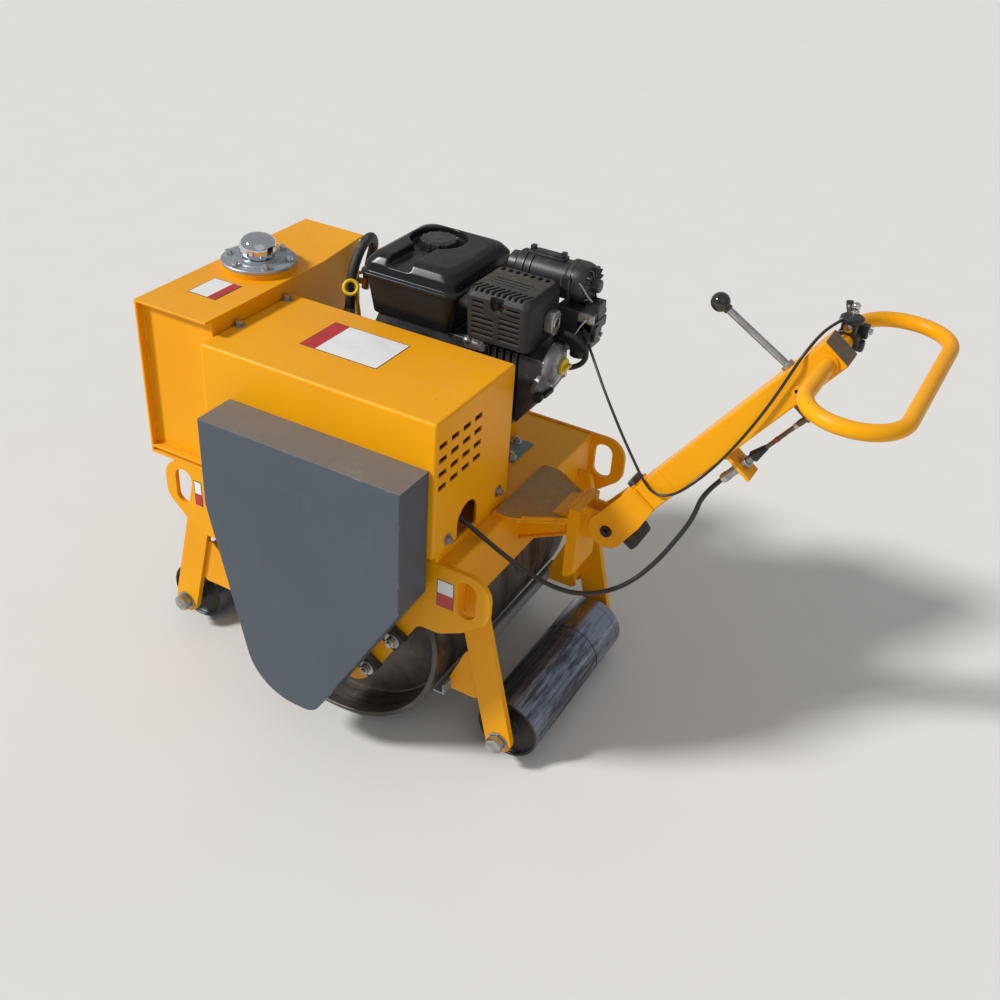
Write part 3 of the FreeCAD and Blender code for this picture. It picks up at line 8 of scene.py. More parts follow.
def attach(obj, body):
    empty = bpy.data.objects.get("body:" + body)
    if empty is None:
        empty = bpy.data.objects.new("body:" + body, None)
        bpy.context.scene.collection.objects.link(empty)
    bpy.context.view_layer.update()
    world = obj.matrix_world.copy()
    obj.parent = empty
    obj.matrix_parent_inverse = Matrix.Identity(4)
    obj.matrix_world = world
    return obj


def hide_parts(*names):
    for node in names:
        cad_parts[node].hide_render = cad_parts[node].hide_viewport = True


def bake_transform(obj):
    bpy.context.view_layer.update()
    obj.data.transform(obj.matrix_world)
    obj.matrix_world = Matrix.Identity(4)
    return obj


bl_info = {
    "name": "Walk-behind roller",
    "version": (1, 0, 0),
    "blender": (4, 5, 0),
    "location": "3D View > Sidebar > Roller",
    "description": "Dresses the packed roller with its finishes, fasteners, cords and fittings",
    "category": "Object",
}

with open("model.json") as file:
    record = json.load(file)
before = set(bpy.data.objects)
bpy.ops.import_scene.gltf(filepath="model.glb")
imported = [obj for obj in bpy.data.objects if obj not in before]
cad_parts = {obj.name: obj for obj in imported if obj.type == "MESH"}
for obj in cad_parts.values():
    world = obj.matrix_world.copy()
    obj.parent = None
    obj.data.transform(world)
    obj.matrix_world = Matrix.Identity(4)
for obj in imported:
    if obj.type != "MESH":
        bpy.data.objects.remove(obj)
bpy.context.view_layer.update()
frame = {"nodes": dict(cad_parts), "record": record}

# Places are millimetres, X from midway between the support rollers, Y from the drum's middle, Z from the ground
MIDDLE = Vector((251.35, -45.0, 0.0))
DECK_TOP = 476.0
DRUM = Vector((-28.0, 0.0, 240.0))
ROLLER_X = 389.0
ROLLER_Z = 65.0
HINGE = Vector((-476.0, 0.0, 478.0))
HANDLE_ANGLE = math.radians(54.0)
SLOTS = {part["node"]: part["material_slot"] for part in frame["record"]["subparts"]}
BODIES = {node: body for body, nodes in frame["record"]["behaviour"]["bodies"].items() for node in nodes}


def placed(x, y, z):
    """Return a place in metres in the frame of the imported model."""
    return (Vector((x, y, z)) + MIDDLE) * 0.001


def tone(red, green, blue):
    """Return a colour given as it looks on a screen, 0 to 255, as light values."""
    values = []
    for level in (red, green, blue):
        share = level / 255
        values.append(share / 12.92 if share < 0.0405 else ((share + 0.055) / 1.055) ** 2.4)
    return (*values, 1.0)


def on_handle(along, across, y=0.0):
    """Return a place given along the handle and across it from its hinge."""
    x = HINGE.x - along * math.cos(HANDLE_ANGLE) + across * math.sin(HANDLE_ANGLE)
    z = HINGE.z + along * math.sin(HANDLE_ANGLE) + across * math.cos(HANDLE_ANGLE)
    return Vector((x, y, z))


def handle_turn(along, across, y=0.0):
    """Return the matrix that lays X along the handle and Z across it."""
    ahead = (on_handle(1, 0) - on_handle(0, 0)).normalized()
    out = (on_handle(0, 1) - on_handle(0, 0)).normalized()
    side = out.cross(ahead)
    turn = Matrix((ahead, side, out)).transposed().to_4x4()
    return Matrix.Translation(on_handle(along, across, y)) @ turn


def stood(start, axis):
    """Return the matrix that stands a shape made along Z on start, along axis."""
    turn = Vector((0, 0, 1)).rotation_difference(Vector(axis).normalized())
    return Matrix.Translation(start) @ turn.to_matrix().to_4x4()


class RollerSizes(bpy.types.PropertyGroup):
    edge_round: bpy.props.FloatProperty(
        name="Edge round", description="Rounding of the steel sheets' edges", default=0.0009, unit="LENGTH")
    weld_radius: bpy.props.FloatProperty(
        name="Weld radius", description="Radius of the weld beads", default=0.0034, unit="LENGTH")
    control_cable: bpy.props.FloatProperty(
        name="Control cable", description="Diameter of the hanging control cable", default=0.009, unit="LENGTH")
    throttle_cable: bpy.props.FloatProperty(
        name="Throttle cable", description="Diameter of the thin throttle cable", default=0.005, unit="LENGTH")
    hose: bpy.props.FloatProperty(
        name="Hose", description="Diameter of the hose to the tank", default=0.020, unit="LENGTH")
    bolt_across: bpy.props.FloatProperty(
        name="Bolt heads", description="Width across the flats of the cover's bolt heads", default=0.013,
        unit="LENGTH")
    voxel: bpy.props.FloatProperty(
        name="Pressing grain", description="Grid on which the pressed and cast forms are softened",
        default=0.0024, unit="LENGTH")


class RollerColours(bpy.types.PropertyGroup):
    paint: bpy.props.FloatVectorProperty(
        name="Paint", description="Main paint of the machine", default=tone(243, 167, 1), size=4,
        subtype="COLOR")
    case_paint: bpy.props.FloatVectorProperty(
        name="Chain case", description="Paint of the chain case", default=tone(80, 88, 97), size=4,
        subtype="COLOR")
    engine_black: bpy.props.FloatVectorProperty(
        name="Engine black", description="Paint of the fuel tank", default=tone(30, 31, 33), size=4,
        subtype="COLOR")
    floor: bpy.props.FloatVectorProperty(
        name="Floor", description="Colour of the floor", default=tone(226, 224, 220), size=4, subtype="COLOR")


class Signal:
    """A socket that takes part in plain arithmetic."""

    def __init__(self, recipe, socket):
        self.recipe = recipe
        self.socket = socket

    def join(self, operation, first, second):
        return self.recipe.node("ShaderNodeMath", {"operation": operation}, {0: first, 1: second})

    def __add__(self, other):
        return self.join("ADD", self, other)

    __radd__ = __add__

    def __sub__(self, other):
        return self.join("SUBTRACT", self, other)

    def __rsub__(self, other):
        return self.join("SUBTRACT", other, self)

    def __mul__(self, other):
        return self.join("MULTIPLY", self, other)

    __rmul__ = __mul__


class Recipe:
    """A material of nodes round one Principled shader."""

    def __init__(self, name):
        self.material = bpy.data.materials.new("finish_" + name)
        self.material.use_nodes = True
        self.tree = self.material.node_tree
        self.tree.nodes.clear()
        self.shader = self.tree.nodes.new("ShaderNodeBsdfPrincipled")
        end = self.tree.nodes.new("ShaderNodeOutputMaterial")
        self.tree.links.new(self.shader.outputs["BSDF"], end.inputs["Surface"])
        self.place = self.node("ShaderNodeTexCoord", output="Object")
        self.normal = None

    def feed(self, socket, value):
        if isinstance(value, Signal):
            self.tree.links.new(value.socket, socket)
        else:
            socket.default_value = value

    def node(self, kind, settings=None, sockets=None, output=0):
        """Add a node with its settings and the values or links of its sockets."""
        made = self.tree.nodes.new(kind)
        for key, value in (settings or {}).items():
            setattr(made, key, value)
        for key, value in (sockets or {}).items():
            self.feed(made.inputs[key], value)
        return Signal(self, made.outputs[output])

    def noise(self, scale, detail=3.0, roughness=0.55, stretch=(1.0, 1.0, 1.0), seed=0.0):
        where = self.node("ShaderNodeMapping", None, {
            "Vector": self.place, "Scale": stretch, "Location": (seed, seed * 0.7, seed * 0.3)})
        return self.node("ShaderNodeTexNoise", None, {
            "Vector": where, "Scale": scale, "Detail": detail, "Roughness": roughness})

    def ramp(self, value, low, high, start=0.0, end=1.0):
        """Return a smooth step of a value between two levels."""
        return self.node("ShaderNodeMapRange", {"interpolation_type": "SMOOTHSTEP"}, {
            "Value": value, "From Min": low, "From Max": high, "To Min": start, "To Max": end})

    def mix(self, share, first, second):
        return self.node("ShaderNodeMix", {"data_type": "RGBA"}, {0: share, 6: first, 7: second}, output=2)

    def axis(self, vector, name):
        return self.node("ShaderNodeSeparateXYZ", None, {0: vector}, output=name)

    def upward(self):
        """Return how far the surface faces up, as a share."""
        normal = self.node("ShaderNodeNewGeometry", output="Normal")
        return self.ramp(self.axis(normal, "Z"), 0.5, 0.97)

    def rim(self):
        """Return one on the rounded edges and nothing elsewhere."""
        return self.node("ShaderNodeAttribute", {"attribute_name": "rim"}, output="Fac")

    def bump(self, height, strength, distance):
        sockets = {"Strength": strength, "Distance": distance, "Height": height}
        if self.normal:
            sockets["Normal"] = self.normal
        self.normal = self.node("ShaderNodeBump", None, sockets)

    def finish(self, **inputs):
        names = {"colour": "Base Color", "roughness": "Roughness", "metallic": "Metallic", "coat": "Coat Weight",
                 "coat_roughness": "Coat Roughness", "ior": "IOR", "specular": "Specular IOR Level"}
        for key, value in inputs.items():
            self.feed(self.shader.inputs[names[key]], value)
        if self.normal:
            self.feed(self.shader.inputs["Normal"], self.normal)
        return self.material


DUST = tone(166, 150, 128)


def painted(name, colour, deep, rough=0.34, dusty=0.12, chips=0.2, scratch=0.2, bare=None, film=0.25):
    """Satin paint: broad changes of tone, dust on top, scratches and chipped edges."""
    recipe = Recipe(name)
    body = recipe.mix(recipe.ramp(recipe.noise(3.1, 3.0), 0.32, 0.74) * 0.7, colour, deep)
    cloud = recipe.noise(7.0, 6.0, 0.66, seed=3.0) * 0.6 + recipe.noise(90.0, 3.0, 0.6, seed=8.0) * 0.4
    dust = recipe.upward() * (film + recipe.ramp(cloud, 0.44, 0.68) * (1.0 - film)) * dusty
    body = recipe.mix(dust, body, DUST)
    patch = recipe.ramp(recipe.noise(4.0, 2.0, 0.5, seed=12.0), 0.54, 0.66)
    specks = recipe.upward() * patch * recipe.ramp(recipe.noise(210.0, 2.0, 0.5, seed=6.0), 0.66, 0.70)
    body = recipe.mix(specks * 0.55, body, tone(104, 68, 36))
    line = recipe.noise(4.0, 2.0, 0.5, (1.2, 1.0, 170.0), 5.0)
    cross = recipe.noise(4.0, 2.0, 0.5, (150.0, 4.0, 1.6), 9.0)
    scratches = (recipe.ramp(line, 0.705, 0.75) + recipe.ramp(cross, 0.71, 0.76)) * scratch
    body = recipe.mix(scratches * 0.4, body, tone(205, 198, 185))
    grain = recipe.noise(140.0, 3.0, 0.6, seed=7.0)
    worn = recipe.rim() * recipe.ramp(recipe.noise(38.0, 4.0, 0.65, seed=1.0), 0.56, 0.63) * chips
    body = recipe.mix(worn, body, bare or tone(96, 84, 74))
    recipe.bump(recipe.noise(420.0, 2.0, 0.5), 0.06, 0.0006)
    recipe.bump(1.0 - worn, 0.25, 0.0004)
    roughness = rough + 0.16 * grain + 0.30 * dust + 0.12 * scratches + 0.2 * worn - 0.06
    return recipe.finish(colour=body, roughness=roughness, metallic=worn * 0.5, specular=0.2)


def steel(name, light, dark, rough, streak=(1.0, 1.0, 1.0), scale=30.0, cut=(0.42, 0.62), metal=1.0, rust=0.15):
    """Bare or plated steel with stains along one direction."""
    recipe = Recipe(name)
    stain = recipe.ramp(recipe.noise(scale, 5.0, 0.62, streak), cut[0], cut[1])
    body = recipe.mix(stain, light, dark)
    spots = recipe.ramp(recipe.noise(22.0, 6.0, 0.7, seed=4.0), 0.60, 0.74) * rust
    body = recipe.mix(spots, body, tone(112, 74, 46))
    recipe.bump(recipe.noise(300.0, 3.0, 0.6, streak), 0.10, 0.0006)
    roughness = rough + 0.22 * stain + 0.35 * spots
    return recipe.finish(colour=body, roughness=roughness, metallic=metal - 0.6 * spots)


def roller_steel():
    """Tube rolled bright on stones, with dark mill scale left in lengthwise streaks; its bright steel is tinted blue
    as a painted sky reflection.
    """
    recipe = Recipe("roller_steel")
    side = recipe.axis(recipe.node("ShaderNodeNewGeometry", output="Normal"), "Y")
    flat_end = recipe.ramp(side * side, 0.2, 0.6)
    streaks = recipe.noise(9.0, 5.0, 0.66, (15.0, 1.2, 15.0))
    patches = recipe.noise(4.0, 6.0, 0.66, (1.0, 0.8, 1.0), 2.0)
    scale = recipe.ramp(streaks * 0.45 + patches * 0.55, 0.45, 0.60)
    ring = recipe.noise(20.0, 2.0, 0.5, (0.1, 9.0, 0.1), 6.0)
    # The bright steel's blue tint is a painted reflection of the sky; the dark streaks are mill scale.
    body = recipe.mix(scale * 0.85, tone(146, 156, 174), tone(50, 52, 58))
    body = recipe.mix(recipe.ramp(ring, 0.58, 0.70) * 0.35, body, tone(74, 74, 78))
    body = recipe.mix(flat_end, body, tone(66, 62, 58))
    recipe.bump(recipe.noise(190.0, 3.0, 0.6, (3.0, 0.5, 3.0)), 0.18, 0.0008)
    recipe.bump(1.0 - scale, 0.2, 0.0005)
    return recipe.finish(colour=body, roughness=0.25 + 0.2 * scale + 0.2 * flat_end, metallic=0.95 - 0.2 * scale)


def drum_steel():
    """Rolled drum, dark and dull, with light and dark bands round it and dry clay in patches."""
    recipe = Recipe("drum_steel")
    streaks = recipe.noise(6.0, 5.0, 0.62, (1.0, 7.0, 1.0))
    body = recipe.mix(recipe.ramp(streaks, 0.40, 0.66), tone(104, 98, 92), tone(60, 56, 54))
    clay = recipe.ramp(recipe.noise(13.0, 6.0, 0.68, seed=3.0), 0.53, 0.70)
    body = recipe.mix(clay * 0.55, body, tone(142, 126, 108))
    recipe.bump(recipe.noise(160.0, 4.0, 0.62), 0.25, 0.0012)
    return recipe.finish(colour=body, roughness=0.46 + 0.30 * clay, metallic=0.75 - 0.6 * clay)


def moulded(name, colour, pale, rough=0.48, grain=360.0, dusty=0.30, coat=0.0, relief=0.12):
    """Black plastic or rubber with a fine grain, greyed where dust settles."""
    recipe = Recipe(name)
    body = recipe.mix(recipe.ramp(recipe.noise(11.0, 4.0), 0.40, 0.72), colour, pale)
    dust = recipe.upward() * recipe.ramp(recipe.noise(34.0, 5.0, 0.62, seed=2.0), 0.40, 0.74) * dusty
    body = recipe.mix(dust, body, tone(150, 142, 130))
    scuff = recipe.rim() * recipe.ramp(recipe.noise(60.0, 3.0, seed=5.0), 0.45, 0.66) * 0.4
    body = recipe.mix(scuff, body, tone(112, 110, 108))
    recipe.bump(recipe.noise(grain, 3.0, 0.55), relief, 0.0005)
    return recipe.finish(colour=body, roughness=rough + 0.3 * dust + 0.12 * scuff, coat=coat)


def cast_aluminium():
    """Sand-cast aluminium, dull and dusty, brighter on its edges."""
    recipe = Recipe("cast_aluminium")
    body = recipe.mix(recipe.ramp(recipe.noise(18.0, 4.0), 0.36, 0.68), tone(168, 168, 166), tone(128, 127, 124))
    dust = recipe.ramp(recipe.noise(30.0, 5.0, 0.6, seed=2.0), 0.48, 0.72) * 0.45
    body = recipe.mix(dust, body, tone(120, 110, 98))
    body = recipe.mix(recipe.rim() * 0.5, body, tone(208, 208, 206))
    recipe.bump(recipe.noise(260.0, 4.0, 0.65), 0.35, 0.0012)
    return recipe.finish(colour=body, roughness=0.44 + 0.3 * dust, metallic=0.85 - 0.5 * dust)


def cast_dark():
    """Casting painted black, oily dust on it."""
    recipe = Recipe("cast_dark")
    body = recipe.mix(recipe.ramp(recipe.noise(18.0, 4.0), 0.36, 0.68), tone(60, 61, 64), tone(42, 42, 44))
    dust = recipe.ramp(recipe.noise(30.0, 5.0, 0.6, seed=2.0), 0.50, 0.74) * 0.4
    body = recipe.mix(dust, body, tone(104, 96, 86))
    body = recipe.mix(recipe.rim() * 0.35, body, tone(128, 128, 128))
    recipe.bump(recipe.noise(260.0, 4.0, 0.65), 0.35, 0.0012)
    return recipe.finish(colour=body, roughness=0.40 + 0.3 * dust, metallic=0.25 - 0.2 * dust)


def weld_bead():
    """Paint over the ripples of a weld."""
    recipe = Recipe("weld_bead")
    body = recipe.mix(recipe.ramp(recipe.noise(60.0, 3.0), 0.4, 0.7), tone(238, 161, 2), tone(222, 144, 4))
    recipe.bump(recipe.noise(210.0, 2.0, 0.5), 0.40, 0.0016)
    return recipe.finish(colour=body, roughness=0.36 + 0.12 * recipe.noise(90.0), specular=0.25)


def printed(name, colour, other):
    """Coated foil of a sign, faded a little, dusty at places."""
    recipe = Recipe(name)
    body = recipe.mix(recipe.ramp(recipe.noise(30.0, 4.0), 0.42, 0.72), colour, other)
    specks = recipe.ramp(recipe.noise(240.0, 3.0, 0.6), 0.66, 0.72) * 0.35
    body = recipe.mix(specks, body, DUST)
    recipe.bump(recipe.noise(120.0, 2.0), 0.05, 0.0004)
    return recipe.finish(colour=body, roughness=0.30 + 0.3 * specks, coat=0.3)


def chrome():
    recipe = Recipe("chrome")
    smear = recipe.ramp(recipe.noise(40.0, 4.0, 0.6), 0.45, 0.75)
    body = recipe.mix(smear * 0.5, tone(212, 217, 224), tone(184, 184, 184))
    recipe.bump(recipe.noise(160.0, 2.0), 0.02, 0.0004)
    return recipe.finish(colour=body, roughness=0.07 + 0.16 * smear, metallic=1.0)


def clear_grey():
    """Greyish half-clear moulding, oily inside."""
    recipe = Recipe("clear_grey")
    cloud = recipe.ramp(recipe.noise(24.0, 4.0, 0.6), 0.36, 0.70)
    body = recipe.mix(cloud, tone(120, 123, 128), tone(62, 63, 66))
    recipe.bump(recipe.noise(120.0, 3.0), 0.12, 0.0010)
    return recipe.finish(colour=body, roughness=0.20 + 0.2 * cloud, coat=0.35)


def make_finish(name):
    """Build the named finish."""
    colours = bpy.context.scene.roller_colours
    paint = tuple(colours.paint)
    if name == "yellow_paint":
        return painted(name, paint, tone(233, 154, 2))
    if name == "slate_paint":
        return painted(name, tuple(colours.case_paint), tone(74, 83, 91), 0.36, 0.42, 0.45, 0.16, tone(132, 134, 136),
                       0.72)
    if name == "dark_paint":
        return painted(name, tone(48, 48, 50), tone(39, 39, 41), 0.46, 0.20, 0.35, 0.1, tone(98, 96, 94), 0.4)
    if name == "black_paint":
        return painted(name, tuple(colours.engine_black), tone(22, 25, 30), 0.23, 0.06, 0.25, 0.1, tone(80, 80, 80))
    if name == "teal_paint":
        return painted(name, tone(92, 134, 142), tone(74, 112, 122), 0.4, 0.5, 0.7, 0.3)
    if name == "primer":
        return painted(name, tone(112, 98, 84), tone(88, 78, 70), 0.5, 0.3, 0.5, 0.4)
    # Gusset top: the yellow darkened to brown is painted shade, with heavy dust, scratches and chipped edges over it.
    if name == "shade_and_dust_top":
        return painted(name, tone(172, 122, 36), tone(118, 94, 62), 0.5, 0.8, 0.6, 0.6)
    if name == "drum_steel":
        return drum_steel()
    if name == "roller_steel":
        return roller_steel()
    if name == "zinc_steel":
        return steel(name, tone(190, 191, 190), tone(160, 160, 157), 0.30, scale=45.0, rust=0.1)
    if name == "grey_steel":
        return steel(name, tone(160, 165, 168), tone(142, 146, 148), 0.45, (4.0, 0.4, 4.0), 8.0, metal=0.35, rust=0.05)
    if name == "flange_steel":
        return steel(name, tone(176, 181, 188), tone(160, 164, 170), 0.40, scale=8.0, metal=0.7, rust=0.04)
    if name == "dark_steel":
        return steel(name, tone(58, 56, 55), tone(38, 37, 37), 0.40, scale=40.0, metal=0.8, rust=0.3)
    if name == "brown_steel":
        return steel(name, tone(160, 138, 108), tone(116, 94, 68), 0.45, (0.5, 3.0, 0.5), 30.0, metal=0.4, rust=0.3)
    if name == "chrome":
        return chrome()
    if name == "cast_aluminium":
        return cast_aluminium()
    if name == "cast_dark":
        return cast_dark()
    if name == "black_plastic":
        return moulded(name, tone(32, 33, 35), tone(44, 45, 47), 0.38, 360.0, 0.14)
    if name == "black_gloss":
        return moulded(name, tone(22, 22, 24), tone(32, 32, 34), 0.16, 90.0, 0.12, 0.6, 0.02)
    if name == "rubber":
        return moulded(name, tone(36, 35, 35), tone(52, 50, 48), 0.62, 260.0, 0.4, 0.0, 0.2)
    if name == "cable_jacket":
        return moulded(name, tone(30, 30, 31), tone(44, 44, 44), 0.40, 500.0, 0.2, 0.0, 0.08)
    if name == "yellow_plastic":
        return moulded(name, tone(236, 200, 24), tone(206, 168, 20), 0.34, 200.0, 0.2, 0.2, 0.06)
    if name == "red_plastic":
        return moulded(name, tone(176, 34, 26), tone(140, 26, 22), 0.4, 200.0, 0.2, 0.1, 0.06)
    # Near-black: painted shade inside the outlet, the starter's slots and the boss's hole, and the dark seam lines on
    # the handle.
    if name == "shade_and_seam_dark":
        return moulded(name, tone(24, 21, 18), tone(34, 29, 24), 0.7, 200.0, 0.1)
    if name == "weld_bead":
        return weld_bead()
    if name == "sign_white":
        return printed(name, tone(236, 236, 234), tone(229, 229, 226))
    if name == "sign_red":
        return printed(name, tone(190, 20, 26), tone(172, 18, 24))
    if name == "sign_dark":
        return printed(name, tone(40, 38, 40), tone(54, 50, 50))
    if name == "clear_grey":
        return clear_grey()
    raise ValueError("no finish is named " + name)


FINISHES = {}


def finish_of(name):
    if name not in FINISHES:
        FINISHES[name] = make_finish(name)
    return FINISHES[name]


class Form:
    """Shapes in millimetres, gathered with their finishes into one piece."""

    def __init__(self):
        self.whole = bmesh.new()
        self.whole.faces.layers.float.new("rim")
        self.finishes = []

    def add(self, shape, finish, width=0.0, segments=2, sharp=28.0):
        """Round a shape's sharp edges and add it, which uses it up."""
        rim = shape.faces.layers.float.get("rim") or shape.faces.layers.float.new("rim")
        if finish not in self.finishes:
            self.finishes.append(finish)
        if width > 0:
            limit = math.radians(sharp)
            edges = [edge for edge in shape.edges if edge.calc_face_angle(0.0) > limit]
            made = bmesh.ops.bevel(shape, geom=edges, offset=width, offset_type="OFFSET", segments=segments,
                                   profile=0.5, affect="EDGES", material=-1, clamp_overlap=False)
            for face in made["faces"]:
                face[rim] = 1.0
        for face in shape.faces:
            face.material_index = self.finishes.index(finish)
        mesh = bpy.data.meshes.new("part")
        shape.to_mesh(mesh)
        shape.free()
        self.whole.from_mesh(mesh)
        bpy.data.meshes.remove(mesh)

    def block(self, finish, low, high, width=1.0, turn=None):
        """Add a block between two corners, turned by a matrix if one is given."""
        shape = bmesh.new()
        middle = (Vector(low) + Vector(high)) / 2
        size = [abs(b - a) for a, b in zip(low, high)]
        place = Matrix.Translation(middle) @ Matrix.Diagonal((*size, 1))
        bmesh.ops.create_cube(shape, size=1, matrix=(turn or Matrix()) @ place)
        self.add(shape, finish, width)

    def rod(self, finish, start, end, radius, width=0.6, sides=32, far=None):
        """Add a round bar or cone between two points."""
        shape = bmesh.new()
        start, end = Vector(start), Vector(end)
        bmesh.ops.create_cone(shape, cap_ends=True, segments=sides, radius1=radius,
                              radius2=radius if far is None else far, depth=(end - start).length,
                              matrix=stood((start + end) / 2, end - start))
        self.add(shape, finish, width)

    def hexagon(self, finish, start, axis, across, height, width=0.8):
        """Add a bolt head or nut standing on start."""
        shape = bmesh.new()
        radius = across / math.sqrt(3)
        place = stood(start, axis) @ Matrix.Translation((0, 0, height / 2))
        bmesh.ops.create_cone(shape, cap_ends=True, segments=6, radius1=radius, radius2=radius, depth=height,
                              matrix=place)
        self.add(shape, finish, width)

    def bolt(self, finish, start, axis, across, washer=True, stud=0.0):
        """Add a hexagon head on its washer, with the thread's end above it if it is a nut."""
        start, axis = Vector(start), Vector(axis).normalized()
        seat = start
        if washer:
            seat = start + axis * (across * 0.12)
            self.rod(finish, start - axis * 0.5, seat, across * 0.92, 0.3, 28)
        self.hexagon(finish, seat, axis, across, across * 0.55)
        if stud:
            top = seat + axis * (across * 0.55)
            self.rod(finish, top - axis, top + axis * stud, across * 0.30, 0.5, 16)

    def lathe(self, finish, start, axis, profile, sides=64, width=0.0):
        """Turn a profile of (along, radius) about an axis from start."""
        shape = bmesh.new()
        line = [shape.verts.new((radius, 0, along)) for along, radius in profile]
        edges = [shape.edges.new(pair) for pair in zip(line, line[1:])]
        if profile[0][1] > 0 and profile[-1][1] > 0:
            edges.append(shape.edges.new((line[-1], line[0])))
        bmesh.ops.spin(shape, geom=line + edges, cent=(0, 0, 0), axis=(0, 0, 1), angle=math.tau, steps=sides,
                       use_merge=True)
        bmesh.ops.remove_doubles(shape, verts=shape.verts, dist=0.001)
        bmesh.ops.recalc_face_normals(shape, faces=shape.faces)
        bmesh.ops.transform(shape, matrix=stood(start, axis), verts=shape.verts)
        self.add(shape, finish, width)

    def slab(self, finish, corners, start, axis, thick, width=0.8, corner=0.0, turn=None):
        """Add a flat plate of an outline (a, b) with round corners, standing on start along axis."""
        shape = bmesh.new()
        face = shape.faces.new([shape.verts.new((a, b, 0)) for a, b in corners])
        if corner:
            bmesh.ops.bevel(shape, geom=list(shape.verts), offset=corner, offset_type="OFFSET", segments=5,
                            profile=0.5, affect="VERTICES", material=-1)
            face = shape.faces[:][0]
        raised = bmesh.ops.extrude_face_region(shape, geom=[face])
        top = [item for item in raised["geom"] if isinstance(item, bmesh.types.BMVert)]
        bmesh.ops.translate(shape, verts=top, vec=(0, 0, thick))
        bmesh.ops.recalc_face_normals(shape, faces=shape.faces)
        bmesh.ops.transform(shape, matrix=turn or stood(start, axis), verts=shape.verts)
        self.add(shape, finish, width)

    def tube(self, finish, points, radius, sides=3, round_corners=True):
        """Add a bent tube through points, its ends closed."""
        curve = bpy.data.curves.new("tube", "CURVE")
        curve.dimensions = "3D"
        curve.resolution_u = 6
        line = curve.splines.new("NURBS" if round_corners else "POLY")
        line.points.add(len(points) - 1)
        for point, place in zip(line.points, points):
            point.co = (*place, 1)
        line.order_u = 3
        line.use_endpoint_u = True
        curve.bevel_depth = radius
        curve.bevel_resolution = sides
        curve.use_fill_caps = True
        holder = bpy.data.objects.new("tube", curve)
        bpy.context.scene.collection.objects.link(holder)
        bpy.context.view_layer.update()
        mesh = bpy.data.meshes.new_from_object(holder.evaluated_get(bpy.context.evaluated_depsgraph_get()))
        bpy.data.objects.remove(holder)
        shape = bmesh.new()
        shape.from_mesh(mesh)
        bpy.data.meshes.remove(mesh)
        bmesh.ops.remove_doubles(shape, verts=shape.verts, dist=0.001)
        bmesh.ops.recalc_face_normals(shape, faces=shape.faces)
        self.add(shape, finish)

    def ring(self, finish, centre, axis, radius, tube, sides=40):
        """Add a ring of round wire."""
        shape = bmesh.new()
        made = bmesh.ops.create_circle(shape, segments=12, radius=tube)
        bmesh.ops.rotate(shape, verts=made["verts"], cent=(0, 0, 0), matrix=Matrix.Rotation(math.pi / 2, 3, "X"))
        bmesh.ops.translate(shape, verts=made["verts"], vec=(radius, 0, 0))
        bmesh.ops.spin(shape, geom=list(shape.verts) + list(shape.edges), cent=(0, 0, 0), axis=(0, 0, 1),
                       angle=math.tau, steps=sides, use_merge=True)
        bmesh.ops.remove_doubles(shape, verts=shape.verts, dist=0.001)
        bmesh.ops.recalc_face_normals(shape, faces=shape.faces)
        bmesh.ops.transform(shape, matrix=stood(centre, axis), verts=shape.verts)
        self.add(shape, finish)

    def ball(self, finish, centre, radius, squash=1.0, axis=(0, 0, 1)):
        shape = bmesh.new()
        place = stood(centre, axis) @ Matrix.Diagonal((1, 1, squash, 1))
        bmesh.ops.create_uvsphere(shape, u_segments=32, v_segments=20, radius=radius, matrix=place)
        self.add(shape, finish)

    def finish(self, name, body, slot, replaces=(), smooth=30.0):
        """Make the piece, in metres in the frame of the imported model."""
        bmesh.ops.translate(self.whole, verts=self.whole.verts, vec=MIDDLE)
        bmesh.ops.scale(self.whole, verts=self.whole.verts, vec=(0.001, 0.001, 0.001))
        mesh = bpy.data.meshes.new(name)
        self.whole.to_mesh(mesh)
        self.whole.free()
        mesh.shade_smooth()
        mesh.set_sharp_from_angle(angle=math.radians(smooth))
        piece = bpy.data.objects.new(name, mesh)
        bpy.context.scene.collection.objects.link(piece)
        for finish in self.finishes:
            mesh.materials.append(finish_of(finish))
        weigh = piece.modifiers.new("even_shading", "WEIGHTED_NORMAL")
        weigh.keep_sharp = True
        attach(piece, body)
        if replaces:
            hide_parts(*replaces)
        return piece


def cad_copy(node):
    """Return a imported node's shape in millimetres, its flat faces joined."""
    shape = bmesh.new()
    shape.from_mesh(frame["nodes"][node].data)
    bmesh.ops.remove_doubles(shape, verts=shape.verts, dist=0.000002)
    bmesh.ops.dissolve_limit(shape, angle_limit=math.radians(0.4), use_dissolve_boundaries=False,
                             verts=shape.verts, edges=shape.edges)
    bmesh.ops.scale(shape, verts=shape.verts, vec=(1000, 1000, 1000))
    bmesh.ops.translate(shape, verts=shape.verts, vec=-MIDDLE)
    return shape


def dressed(node, finish=None, width=None, segments=2, smooth=30.0):
    """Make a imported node's finished piece, with its edges rounded."""
    form = Form()
    if width is None:
        width = bpy.context.scene.roller_sizes.edge_round * 1000
    form.add(cad_copy(node), finish or SLOTS[node], width, segments)
    return form.finish(node + "_finished", BODIES[node], SLOTS[node], (node,), smooth)


def reshaped(shape, modifiers):
    """Return a shape after a list of modifiers (kind, settings)."""
    mesh = bpy.data.meshes.new("blank")
    shape.to_mesh(mesh)
    shape.free()
    holder = bpy.data.objects.new("blank", mesh)
    bpy.context.scene.collection.objects.link(holder)
    for kind, settings in modifiers:
        made = holder.modifiers.new(kind.lower(), kind)
        for key, value in settings.items():
            setattr(made, key, value)
    bpy.context.view_layer.update()
    result = bpy.data.meshes.new_from_object(holder.evaluated_get(bpy.context.evaluated_depsgraph_get()))
    bpy.data.objects.remove(holder)
    made = bmesh.new()
    made.from_mesh(result)
    bpy.data.meshes.remove(result)
    return made


